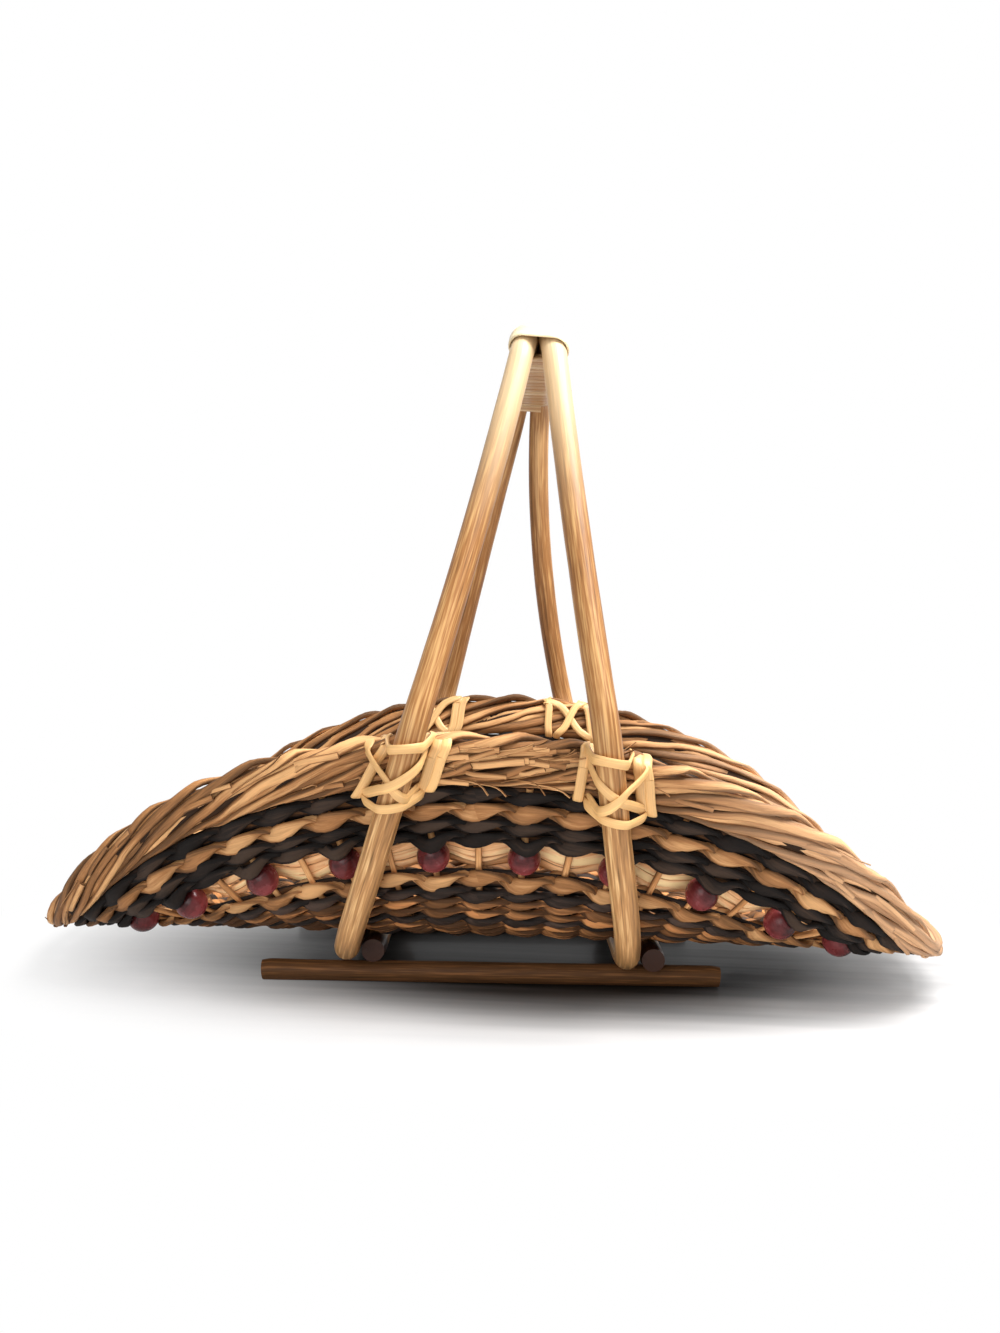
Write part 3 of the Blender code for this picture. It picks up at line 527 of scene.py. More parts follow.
def strand_mesh(name, rings, along, tone, material, closed=True):
    """Make one mesh of many strands from their rings of points.

    Each ring is joined to the next one. Along a closed strand the last is joined to the first, and
    on an open one the points of each end ring are merged. The map "strand" holds metres and turns.
    """
    lines, steps, count = rings.shape[:3]
    index = np.arange(lines * steps * count).reshape(lines, steps, count)
    after = np.roll(index, -1, axis=1)
    faces = np.stack([index, after, np.roll(after, -1, axis=2), np.roll(index, -1, axis=2)],
                     axis=-1)
    onward = np.concatenate([along[:, 1:], along[:, -1:] * steps / (steps - 1)], axis=1)
    u = np.stack([along, onward, onward, along], axis=-1)[:, :, None]
    v = (np.arange(count)[:, None] + np.array([0.0, 0.0, 1.0, 1.0])) / count
    uv = np.stack(np.broadcast_arrays(u, v), axis=-1)
    if not closed:
        faces, uv = faces[:, :-1], uv[:, :-1]
    mesh = bpy.data.meshes.new(name)
    mesh.vertices.add(index.size)
    mesh.vertices.foreach_set("co", rings.ravel().astype(np.float32))
    mesh.loops.add(faces.size)
    mesh.loops.foreach_set("vertex_index", faces.ravel().astype(np.int32))
    mesh.polygons.add(faces.size // 4)
    mesh.polygons.foreach_set("loop_start", np.arange(0, faces.size, 4, dtype=np.int32))
    mesh.update(calc_edges=True)
    mesh.uv_layers.new(name="strand").data.foreach_set("uv", uv.ravel().astype(np.float32))
    tones = np.broadcast_to(tone[..., None], index.shape).ravel().astype(np.float32)
    mesh.attributes.new("tone", "FLOAT", "POINT").data.foreach_set("value", tones)
    if not closed:
        merge_ends(mesh)
    made = add_object(name, mesh, material)
    if not closed:
        mesh.set_sharp_from_angle(angle=CUT_EDGE)
    return made


def merge_ends(mesh):
    """Join the coincident points of the drawn-in ends."""
    work = bmesh.new()
    work.from_mesh(mesh)
    bmesh.ops.remove_doubles(work, verts=work.verts, dist=SAME_PLACE)
    work.to_mesh(mesh)
    work.free()


def swept(centres, tangents, normals, half_widths, half_heights, rolls, section):
    """Sections carried along lines: across is the tangent crossed with the normal.

    Centres have the shape (lines, steps, 3). The result has one more axis, the section's points,
    and a roll turns a section about its tangent.
    """
    across = unit(np.cross(tangents, normals))
    level = np.cross(across, tangents)
    turn = rolls[..., None]
    wide = across * np.cos(turn) - level * np.sin(turn)
    tall = level * np.cos(turn) + across * np.sin(turn)
    x = half_widths[..., None] * section[0]
    y = half_heights[..., None] * section[1]
    return centres[:, :, None] + wide[:, :, None] * x[..., None] + tall[:, :, None] * y[..., None]


def closed_strands(name, strands, section, material):
    """Strands that run into themselves, as one object.

    Each has its centres, normals, half widths, half heights, rolls and tones, the last four of
    which may be one number.
    """
    centres, normals, *sizes = (np.stack(column) for column in zip(*strands))
    wide, tall, rolls, tones = (np.broadcast_to(values.reshape(len(strands), -1), centres.shape[:2])
                                for values in sizes)
    tangents = unit(np.roll(centres, -1, axis=1) - np.roll(centres, 1, axis=1))
    rings = swept(centres, tangents, normals, wide, tall, rolls, section)
    return strand_mesh(name, rings, length_along(centres), tones, material)


def open_strands(name, centres, normals, half_widths, half_heights, section, tone, material,
                 roll=0.0):
    """Strands with cut ends, as one object: a ring of no size closes each end in its middle."""
    lines = centres.shape[:2]

    def ended(values, shape=lines, end=None):
        """One more value at both ends of each line: the end given, or else the nearest again."""
        padding = ((0, 0), (1, 1), (0, 0))[:len(shape)]
        values = np.broadcast_to(values, shape)
        if end is None:
            return np.pad(values, padding, "edge")
        return np.pad(values, padding, constant_values=end)

    tangents = unit(np.gradient(centres, axis=1))
    rings = swept(*(ended(vectors, centres.shape) for vectors in (centres, tangents, normals)),
                  ended(half_widths, end=0.0), ended(half_heights, end=0.0), ended(roll), section)
    along = ended(length_along(centres))
    return strand_mesh(name, rings, along, ended(tone, end=CUT_TONE), material, False)


def smooth_line(points, count):
    """Points evenly spread along a smooth curve through the given ones.

    Between two points the curve is the cubic whose slopes there are those of the chords beside
    them. Numbers after the first three of each point, such as a direction, change with it. A point
    in the same place as the one before it is left out.
    """
    points = np.asarray(points, dtype=float)
    moved = np.linalg.norm(np.diff(points[:, :3], axis=0), axis=1) > SAME_PLACE
    points = points[np.append(True, moved)]
    padded = np.concatenate([points[:1] * 2.0 - points[1:2], points,
                             points[-1:] * 2.0 - points[-2:-1]])
    chord = np.linalg.norm(np.diff(points[:, :3], axis=0), axis=1)
    knots = np.concatenate([[0.0], np.cumsum(chord)])
    place = np.linspace(0.0, knots[-1], count)
    low = np.clip(np.searchsorted(knots, place, side="right") - 1, 0, len(chord) - 1)
    step = chord[low][:, None]
    share = (place - knots[low])[:, None] / step
    lengths = np.concatenate([[chord[0]], (chord[1:] + chord[:-1]) / 2.0, [chord[-1]]])
    slopes = (padded[2:] - padded[:-2]) / 2.0 / lengths[:, None]
    square, cube = share ** 2, share ** 3
    return ((2 * cube - 3 * square + 1) * points[low]
            + (cube - 2 * square + share) * slopes[low] * step
            + (3 * square - 2 * cube) * points[low + 1] + (cube - square) * slopes[low + 1] * step)


def place_piece(made, node, replaces=True):
    """Let a piece ride on the body of a node and, if it replaces the node, hide the node."""
    bodies = frame["record"].get("behaviour", {}).get("bodies", {"root": [node]})
    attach(made, next(name for name, nodes in bodies.items() if node in nodes))
    if replaces:
        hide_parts(node)


def twined_row(weave, rng, number, middle, half_width, half_height=0.00115, twist=1.0, lift=1.0,
               sway=0.0, bulge=0.0, droop=0.0, loose=1.0):
    """Two strands twisted round each other: centres, normals, half sizes, rolls and tones of each.

    In its own cross-section a strand goes round an ellipse, half a turn from one stake to the next:
    up the row with the sine of the phase and off the mat with the cosine of the phase less a lag,
    so that it stays in front a little longer and then dives. Its flat side faces away from the
    middle, and it is broad in front and narrow where it dives. Over a bead it may bulge out and
    droop, and a loose one wanders more. Its tone changes where it dives.
    """
    t = once_round(weave.steps)
    angle = angle_at(t)
    bare_stake = np.cos(HALF_TURN * t)
    tip = np.abs(np.cos(angle))
    stitch = np.floor(t + 0.5 + STITCH_SHIFT).astype(int) % STAKES
    strands = []
    for strand in range(2):
        phase = HALF_TURN * (t + strand + number)
        front = np.cos(phase - weave.lag)
        climb = np.sin(phase)
        over_bead = np.maximum(-bare_stake, 0.0) ** 2 * np.maximum(front, 0.0) * (1.0 - tip ** 6)
        move = weave.twist * twist * climb + sway * bare_stake - droop * over_bead
        move = move + STRAND_WANDER * loose * drift(t, STAKES, STAKES, rng)
        height = weave.lift * lift * front + bulge * over_bead
        height = height + STRAND_RIPPLE * drift(t, STAKES, STAKES, rng)
        centre, normal, _ = ring_frame((middle[0] - move, middle[1] - move * TIP_PACKING),
                                       angle, height)
        swell = 1.0 + 0.12 * loose * drift(t, STAKES, STAKES, rng)
        wide = (half_width * (0.80 + 0.20 * np.cos(2.0 * (phase - 0.25))) * swell
                * (1.0 - 0.22 * tip ** 3))
        tall = half_height * (1.15 - 0.15 * np.cos(2.0 * phase)) * swell
        tones = rng.uniform(0.0, 1.0, STAKES + 1)[stitch]
        strands.append((centre, normal, wide, tall, np.arctan2(climb * 0.55, front), tones))
    return strands


def add_twined(name, rows, weave, seed, material):
    """One object of the rows of twisted strands."""
    rng = np.random.default_rng(seed)
    strands = []
    for number, row in enumerate(rows):
        strands += twined_row(weave, rng, number, **row)
    return closed_strands(name, strands, oval_section(10, 0.85), material)


class BASKET_OT_woven_rows(bpy.types.Operator):
    """Twine the dark and tan rows between the border and the floor"""
    bl_idname = "basket.woven_rows"
    bl_label = "Woven Rows"

    def execute(self, context):
        weave = context.scene.basket_weave
        dark = fibre_material("dyed strand", scaled(weave.dark, 0.60), (0.044, 0.027, 0.018),
                              0.78, 1.5)
        tan = fibre_material("tan strand", scaled(weave.tan, 0.70), scaled(weave.pale, 0.76))
        dark_half = DARK_ROW_WIDTH * 0.72
        tan_half = TAN_ROW_WIDTH * 0.64
        under_border = step_in(DARK_OUTER, -0.0007, False)
        for node, middle, half, material, slot, extra in (
                ("dark_row_outer", under_border, dark_half * 1.12, dark, "dark_rush",
                 {"twist": 1.1}),
                ("tan_row_outer", TAN_OUTER, tan_half, tan, "tan_rush",
                 {"twist": 1.2, "lift": 1.1}),
                ("dark_row_middle", DARK_MIDDLE, dark_half, dark, "dark_rush", {"loose": 1.6}),
                ("dark_row_above_beads", DARK_UPPER, dark_half * 1.05, dark, "dark_rush",
                 {"bulge": 0.0038, "droop": 0.0020, "loose": 1.6}),
                ("tan_row_below_beads", TAN_LOWER, tan_half * 0.95, tan, "tan_rush",
                 {"sway": 0.0016})):
            row = {"middle": middle, "half_width": half, **extra}
            made = add_twined(node.replace("row", "twined_row"), [row], weave, len(node), material)
            place_piece(made, node)
        self.add_shade_filling(weave)
        return {"FINISHED"}

    def add_shade_filling(self, weave):
        """Flat dark strands along the middle of each row, which close the gaps between strands.

        Their dark colour is painted shade in those gaps.
        """
        material = fibre_material("row shade filling", scaled(weave.dark, 0.8), scaled(weave.brown, 0.5),
                                  0.8, 0.6)
        angle = angle_at(once_round(4))
        squeeze = 1.0 - (1.0 - TIP_PACKING) * np.cos(angle) ** 4
        strands = []
        for number, (middle, width) in enumerate((
                (DARK_OUTER, DARK_ROW_WIDTH * 1.15), (TAN_OUTER, TAN_ROW_WIDTH),
                (DARK_MIDDLE, DARK_ROW_WIDTH), (DARK_UPPER, DARK_ROW_WIDTH * 0.8),
                (TAN_LOWER, TAN_ROW_WIDTH * 0.9))):
            centre, normal, _ = ring_frame(middle, angle, -0.0005 * (number % 2))
            strands.append((centre, normal, width * 0.62 * squeeze + 0.0008, 0.00025, 0.0, 0.4))
        made = closed_strands("row_shade_filling", strands, oval_section(6), material)
        place_piece(made, "dark_row_outer", False)


class BASKET_OT_open_row(bpy.types.Operator):
    """Run a few straws, brightened as painted light, behind the beads, held by the bare stakes
    between them
    """
    bl_idname = "basket.open_row"
    bl_label = "Open Row"

    def execute(self, context):
        weave = context.scene.basket_weave
        # Painted light: the straws' colours are brightened to stand for strong light falling on them.
        material = fibre_material("straw painted sunlit", (0.84, 0.42, 0.18), (0.98, 0.60, 0.31), 0.6, 1.3)
        rng = np.random.default_rng(11)
        t = once_round(weave.steps)
        behind_bead = 0.0056 - 0.0033 * np.cos(HALF_TURN * t)
        strands = []
        for share in (0.10, 0.26, 0.42, 0.58, 0.74, 0.92):
            depth = OPEN_ROW_WIDTH * share + 0.0016 * drift(t, STAKES, 2 * STAKES // 3, rng)
            height = -behind_bead - 0.0006 * (1.0 + drift(t, STAKES, STAKES, rng))
            centre, normal, _ = ring_frame(step_in(OPEN_TOP, depth, False), angle_at(t), height)
            wide = 0.0021 * (1.0 + 0.3 * drift(t, STAKES, STAKES, rng))
            tone = 0.55 + 0.6 * drift(t, STAKES, STAKES // 3, rng)
            strands.append((centre, normal, wide, 0.0005, 0.0, tone))
        made = closed_strands("straws_behind_beads", strands, oval_section(8, 0.8), material)
        place_piece(made, "border_and_stakes", False)
        return {"FINISHED"}


class BASKET_OT_floor(bpy.types.Operator):
    """Twine the close rows of the floor and set the stakes that run out of it"""
    bl_idname = "basket.floor"
    bl_label = "Floor and Stakes"

    def execute(self, context):
        weave = context.scene.basket_weave
        brown = fibre_material("brown strand", scaled(weave.brown, 0.95), scaled(weave.brown, 2.1),
                               0.68, 1.7)
        dark = fibre_material("dyed floor strand", scaled(weave.dark, 1.15),
                              scaled(weave.dark, 3.0), 0.64)
        tan = fibre_material("stake", scaled(weave.tan, 1.1), weave.pale, 0.60)
        middles = [step_in(FLOOR_EDGE, FLOOR_ROW_WIDTH * (number + 0.5))
                   for number in range(int((HALF_WIDTH - FLOOR_EDGE[0]) / FLOOR_ROW_WIDTH))]
        for kind, material, slot in (("brown", brown, "tan_rush"), ("dark", dark, "dark_rush")):
            rows = [{"middle": middle, "half_width": FLOOR_ROW_WIDTH * 0.60, "half_height": 0.00125,
                     "loose": 2.0}
                    for number, middle in enumerate(middles)
                    if (number in DARK_FLOOR_ROWS) == (kind == "dark")]
            made = add_twined(f"floor_rows_{kind}", rows, weave, 40 + len(kind), material)
            place_piece(made, "mat_floor", False)
        self.add_middle(HALF_LENGTH - middles[-1][1], brown)
        self.add_stakes(tan)
        return {"FINISHED"}

    def add_middle(self, half, material):
        """Two strands twisted along the slit that the innermost row leaves."""
        place = np.linspace(-1.0, 1.0, 120)
        phase = place * 8.0 * HALF_TURN + np.array([[0.0], [HALF_TURN]])
        room = np.sqrt(1.0 - place ** 2 * 0.98)
        x = np.broadcast_to(place * half, phase.shape)
        centres, normals, _ = sheet_frame(x, 0.0016 * room * np.sin(phase), 0.0018 * np.cos(phase))
        made = open_strands("floor_middle", centres, normals, 0.0026 * room, 0.0012,
                            oval_section(10, 0.85), 0.5 + 0.4 * np.sin(phase * 0.37), material)
        place_piece(made, "mat_floor", False)

    def add_stakes(self, material):
        """Round stakes along lines of constant angle, from under the border to the middle."""
        rng = np.random.default_rng(7)
        depth = 0.0008 + np.linspace(0.0, HALF_WIDTH * 0.93 - BORDER_INNER[0], 44)
        angle = np.repeat(STAKE_ANGLES[:-1, None], len(depth), axis=1)
        edge = (BORDER_INNER[0] + depth, BORDER_INNER[1] + depth * 0.78)
        centres, normals, _ = ring_frame(edge, angle, 0.0)
        thick = STAKE_RADIUS * (1.0 + 0.10 * rng.uniform(-1.0, 1.0, (STAKES, 1)))
        tone = rng.uniform(0.2, 1.0, (STAKES, 1))
        made = open_strands("stakes", centres, normals, thick * 1.12, thick, oval_section(8), tone,
                            material)
        place_piece(made, "mat_floor")


def border_frame(t, turn, grow=0.0):
    """Points round the border's section and their outward directions.

    The section is a flat oval. Its turn is 0 on the outer face, a quarter on the rim, half on the
    inner face. Half sizes are the border's width and thickness, plus what it is to grow, and the
    section is pinched at the two tips.
    """
    angle = angle_at(t)
    up = np.sin(turn)
    out = np.cos(turn)
    pinch = 1.0 - 0.58 * np.abs(np.cos(angle)) ** 20
    reach_up = (BORDER_WIDTH / 2.0 + grow) * pinch
    reach_out = (BORDER_THICKNESS / 2.0 + grow) * pinch
    v = reach_up * np.sign(up) * np.abs(up) ** 0.85
    w = reach_out * np.sign(out) * np.abs(out) ** 0.65
    centre, normal, upward = ring_frame(step_in(BORDER_MIDDLE, -v), angle, w)
    facing = unit(normal * (out * reach_up)[..., None] + upward * (up * reach_out)[..., None])
    return centre, facing


class BASKET_OT_border(bpy.types.Operator):
    """Lay the border's strands round the rim at a low angle, each a bundle of flat ribbons"""
    bl_idname = "basket.border"
    bl_label = "Border"

    def execute(self, context):
        weave = context.scene.basket_weave
        # The border's strands grow paler towards the right tip: painted light.
        tan = fibre_material("border strand", scaled(weave.tan, 0.76), scaled(weave.pale, 0.84),
                             0.60, 1.45, True)
        # Painted shade: the dark core shows in the gaps between the border's strands.
        dark = fibre_material("border shade", scaled(weave.brown, 0.30), scaled(weave.brown, 0.5))
        rng = np.random.default_rng(21)
        t = once_round(weave.steps)
        tip = np.cos(angle_at(t)) ** 2
        strands = []
        for strand in range(weave.border_lay):
            sway = 0.10 * drift(t, STAKES, STAKES, rng)
            for line in range(weave.border_lines):
                aside = 2.0 * line / (weave.border_lines - 1) - 1.0
                turn = FULL_TURN * (t - strand - 0.27 * aside) / weave.border_lay + sway
                turn = turn + 0.06 * drift(t, STAKES, 2 * STAKES, rng)
                rim = np.maximum(np.sin(turn), 0.0) ** 12
                grow = 0.0028 * rim - 0.0018 - 0.0008 * (aside + 0.6) * (1.0 + rim)
                grow = grow + 0.0005 * drift(t, STAKES, 2 * STAKES, rng)
                centre, facing = border_frame(t, turn, grow)
                thick = 1.0 + 0.20 * drift(t, STAKES, STAKES, rng)
                roll = 0.25 + 0.30 * drift(t, STAKES, STAKES, rng)
                tone = 0.5 + 0.6 * drift(t, STAKES, STAKES // 2, rng)
                strands.append((centre, facing, 0.0024 * thick * (1.0 - TIP_THINNING * tip),
                                0.0015 * thick * (1.0 - 0.25 * tip), roll, tone))
        made = closed_strands("border_strands", strands, oval_section(8, 0.8), tan)
        place_piece(made, "border_and_stakes")
        self.add_core(dark, once_round(2))
        rng = np.random.default_rng(33)
        self.add_ends(rng, "border_cut_ends", 110, 0.0016, 1.0, 0.0010, tan)
        self.add_ends(rng, "border_wisps", 60, 0.00035, 1.3, 0.0070, tan)
        return {"FINISHED"}

    def add_core(self, material, t):
        """A closed ring under the strands, so that no light shows through the border.

        Its dark colour shows in the gaps between strands as painted shade.
        """
        turn = -FULL_TURN * np.arange(16) / 16
        rings, _ = border_frame(*np.broadcast_arrays(t[:, None], turn), -0.0020)
        tone = np.full((1, len(t)), 0.4)
        made = strand_mesh("border_core", rings[None], length_along(rings[None, :, 0]), tone,
                           material)
        place_piece(made, "border_and_stakes", False)

    def add_ends(self, rng, name, count, width, longest, spread, material):
        """Short cut ends or thin wisps that lie on the border.

        A third of them lie between the front ties and two ninths at the tips. Each starts in the
        border, and its end stands off by its spread times the cube of its share beyond the middle.
        """
        def drawn(low, high):
            return rng.uniform(low, high, (count, 1))

        share = np.linspace(0.0, 1.0, 8)
        number = np.arange(count)[:, None]
        place = drawn(0.0, STAKES)
        near_ties = number < count // 3
        place = np.where(near_ties, drawn(-2.2, 2.4), place)
        near_tips = ~near_ties & (number < count * 5 // 9)
        tip = STAKES * (0.25 + 0.5 * rng.integers(0, 2, (count, 1)))
        place = np.where(near_tips, tip + drawn(-2.4, 1.8), place)
        length = drawn(0.35, longest)
        turn = drawn(-0.75, 1.0) + drawn(-0.25, 0.95) * length * share
        lift = 0.0002 + 0.0007 * drawn(0.0, 1.0)
        free = drawn(0.2, 1.0) * spread
        grow = lift + free * np.abs(share * 1.6 - 0.6) ** 3 - 0.0016 * (1.0 - share) ** 6
        t = place + length * share
        centres, normals = border_frame(t, turn, grow)
        size = width * drawn(0.75, 1.15) * (1.0 - TIP_THINNING * np.cos(angle_at(t)) ** 2)
        roll, tone = drawn(-0.3, 0.3), drawn(0.15, 0.9)
        made = open_strands(name, centres, normals, size, np.minimum(size, 0.0007),
                            oval_section(6, 0.8), tone, material, roll)
        place_piece(made, "border_and_stakes", False)


class BASKET_OT_beads(bpy.types.Operator):
    """Turn a bored bead for every second stake"""
    bl_idname = "basket.beads"
    bl_label = "Beads"

    def execute(self, context):
        material = bead_material(context.scene.basket_weave.bead)
        around, steps = 24, 15
        turn = FULL_TURN * np.arange(around) / around
        end = math.radians(70.0)
        tilt = np.linspace(end, -end, steps)
        bore = STAKE_RADIUS + BORE_PLAY
        bore_end = BEAD_LENGTH / 2.0 - BORE_CHAMFER
        radius = np.concatenate([BEAD_DIAMETER / 2.0 * np.cos(tilt), [bore, bore]])
        level = np.concatenate([BEAD_LENGTH / 2.0 * np.sin(tilt) / math.sin(end),
                                [-bore_end, bore_end]])
        for number in range(BEAD_COUNT):
            angle = STAKE_ANGLES[1 + 2 * number]
            low, high = (Vector(ring_frame(edge, angle, 0.0)[0]) for edge in (OPEN_FOOT, OPEN_TOP))
            axis = (high - low).normalized()
            side = axis.cross(Vector((0.0, 0.0, 1.0))).normalized()
            spoke = np.outer(np.cos(turn), side) + np.outer(np.sin(turn), axis.cross(side))
            middle = np.array((low + high) / 2.0)
            rings = middle + np.outer(level, axis)[:, None] + spoke * radius[:, None, None]
            name = f"bead_{number + 1:02d}"
            # The tone runs from light at the bead's bottom to dark at its top: painted light and
            # painted shade.
            made = strand_mesh(f"turned_{name}", rings[None], length_along(rings[None, :, 0]),
                               0.5 - level[None] / BEAD_LENGTH, material)
            place_piece(made, name)
        return {"FINISHED"}


def meeting_point(point_a, towards_a, point_b, towards_b):
    """Where two lines in a plane cross, each given by a point and a direction."""
    offset = point_b - point_a
    share = towards_b.cross(offset) / towards_b.cross(towards_a)
    return point_a + towards_a * share


def leg_corners():
    """Corners of a leg in the (y, z) plane: foot, tie, the front leg's top and the back leg's top.

    The leg passes just outside the beads and just outside the border, then leans in above it.
    """
    bead_reach = BEAD_DIAMETER / 2.0 + CLEARANCE + POLE_RADIUS
    border_reach = BORDER_THICKNESS / 2.0 + LASHING_CLEARANCE + POLE_RADIUS
    low = Vector(sheet_frame(0.0, HALF_WIDTH - BEAD_RING[0], bead_reach)[0][1:])
    rim = Vector(sheet_frame(0.0, HALF_WIDTH, border_reach)[0][1:])
    level = Vector((1.0, 0.0))
    foot = meeting_point(low, rim - low, Vector((0.0, RUN_HEIGHT)), level)
    tie = meeting_point(low, rim - low, Vector((0.0, rim.y + TIE_CORNER_RISE)), level)
    tops = []
    for slope in (FRONT_SLOPE, BACK_SLOPE):
        upright = Vector((-math.cos(slope), math.sin(slope)))
        tops.append(meeting_point(tie, upright, Vector((0.0, HOOP_HEIGHT)), level))
    return foot, tie, *tops


FOOT_CORNER, TIE_CORNER, FRONT_TOP, BACK_TOP = leg_corners()
FRONT_BEND = -FRONT_TOP.x + TOP_BEND_RADIUS * math.tan(FRONT_SLOPE / 2.0)
BACK_BEND = BACK_TOP.x - TOP_BEND_RADIUS * math.tan(BACK_SLOPE / 2.0)
WRAP_START = FRONT_BEND - TOP_BEND_RADIUS * WRAP_FRONT_TURN
WRAP_END = BACK_BEND + TOP_BEND_RADIUS * WRAP_BACK_TURN
WRAP_LOOPS = int((WRAP_END - WRAP_START - WRAP_WIDTH) / WRAP_PITCH)
TIE_HEIGHT = sheet_frame(0.0, HALF_WIDTH - BORDER_WIDTH / 2.0, 0.0)[0][2]


def pole_x(height, side, back):
    """Place of a leg across the hoops: the quadratic through its foot, its tie and the top."""
    tie_spread = BACK_TIE_SPREAD if back else FRONT_TIE_SPREAD
    places = {
        RUN_HEIGHT: FOOT_CENTRE + side * FOOT_SPREAD / 2.0 + (POLE_END_SHIFT if back else 0.0),
        TIE_HEIGHT: TIE_CENTRE + side * tie_spread / 2.0,
        HOOP_HEIGHT: TOP_CENTRE + side * POLE_PITCH / 2.0,
    }
    total = 0.0
    for level, place in places.items():
        others = [other for other in places if other != level]
        total += place * math.prod((height - other) / (level - other) for other in others)
    return total


def to_mat(across, y, z):
    """From a place across the hoops, which stand turned a little, to x, y and z."""
    return across / math.cos(HOOP_TURN) - y * math.tan(HOOP_TURN), y, z


def rounded_corner(before, corner, after, radius, count):
    """Points of the arc that rounds one corner of a path in a plane."""
    back = (before - corner).normalized()
    ahead = (after - corner).normalized()
    half_angle = back.angle(ahead) / 2.0
    centre = corner + (back + ahead).normalized() * radius / math.sin(half_angle)
    start = corner + back * radius / math.tan(half_angle) - centre
    end = corner + ahead * radius / math.tan(half_angle) - centre
    first = math.atan2(start.y, start.x)
    sweep = (math.atan2(end.y, end.x) - first + HALF_TURN) % FULL_TURN - HALF_TURN
    turns = [first + sweep * part / count for part in range(count + 1)]
    return [centre + Vector((math.cos(turn), math.sin(turn))) * radius for turn in turns]


def half_hoop(back):
    """One half of a hoop in the (y, z) plane, from the handle's middle to the end under the mat."""
    foot_radius = BEND_RADIUS + MAT_THICKNESS / 2.0 + POLE_RADIUS
    corners = [Vector((0.0, HOOP_HEIGHT)), BACK_TOP if back else FRONT_TOP, TIE_CORNER, FOOT_CORNER,
               Vector((-POLE_END, RUN_HEIGHT))]
    points = corners[:1]
    for index, (radius, count) in enumerate((
            (TOP_BEND_RADIUS, 8), (TIE_BEND_RADIUS, 4), (foot_radius, 8))):
        arc = rounded_corner(*corners[index:index + 3], radius, count)
        fill = max(1, round((arc[0] - points[-1]).length / STRAIGHT_STEP))
        points += [points[-1].lerp(arc[0], part / fill) for part in range(1, fill)] + arc
    return points + [points[-1].lerp(corners[-1], 0.5), corners[-1]]


def hoop_line(side):
    """Points along a whole hoop, from its back end up, over and down to its front end."""
    back_leg = [to_mat(pole_x(point.y, side, True), point.x, point.y) for point in half_hoop(True)]
    front_leg = [to_mat(pole_x(point.y, side, False), -point.x, point.y)
                 for point in half_hoop(False)]
    return back_leg[::-1] + front_leg[1:]


class BASKET_OT_hoops(bpy.types.Operator):
    """Bend the two poles into hoops"""
    bl_idname = "basket.hoops"
    bl_label = "Hoops"

    def execute(self, context):
        look = context.scene.basket_frame
        material = wood_material("rattan pole", look.pole, look.pole_pale, 0.42)
        steps = 420
        place = np.linspace(0.0, 1.0, steps)[None]
        end = np.minimum(place, 1.0 - place) * steps
        # The tone falls below nought over the last stretch at each end, which the material draws
        # dark.
        end_tone = np.clip((end - 6.0) / 12.0, -1.0, 0.5)
        for number, (word, side) in enumerate((("left", -1.0), ("right", 1.0))):
            rng = np.random.default_rng(60 + number)
            line = smooth_line(hoop_line(side), steps)[None]
            swell = 1.0 + 0.020 * drift(place, 1.0, 16, rng) + 0.012 * drift(place, 1.0, 60, rng)
            radius = (POLE_RADIUS - 0.0001) * swell * np.where(end < 1.5, WORN_END, 1.0)
            made = open_strands(f"bent_hoop_{word}", line,
                                [math.cos(HOOP_TURN), math.sin(HOOP_TURN), 0.0],
                                radius, radius, oval_section(20), end_tone, material)
            place_piece(made, f"hoop_{word}")
        return {"FINISHED"}


class BASKET_OT_runners(bpy.types.Operator):
    """Lay the two round sticks on the ground"""
    bl_idname = "basket.runners"
    bl_label = "Runners"

    def execute(self, context):
        look = context.scene.basket_frame
        material = wood_material("brown stick", look.stick, scaled(look.stick, 2.2), 0.72, 0.8)
        turned = np.array(Matrix.Rotation(HOOP_TURN, 3, "Z"))
        steps = 60
        place = np.linspace(0.0, 1.0, steps)[None]
        end = np.minimum(place, 1.0 - place) * steps
        for number, (word, facing) in enumerate((("front", -1.0), ("back", 1.0))):
            rng = np.random.default_rng(80 + number)
            swell = 0.985 + 0.015 * drift(place, 1.0, 9, rng)
            radius = RUNNER_RADIUS * swell * np.where(end < 0.6, WORN_END, 1.0)
            x = RUNNER_LENGTH * (place - 0.5)
            line = np.stack([x, np.full_like(x, facing * RUNNER_SETBACK), radius],
                            axis=-1) @ turned.T
            made = open_strands(f"round_runner_{word}", line, [0.0, 0.0, 1.0], radius, radius,
                                oval_section(18), 0.5, material)
            place_piece(made, f"runner_{word}")
        return {"FINISHED"}


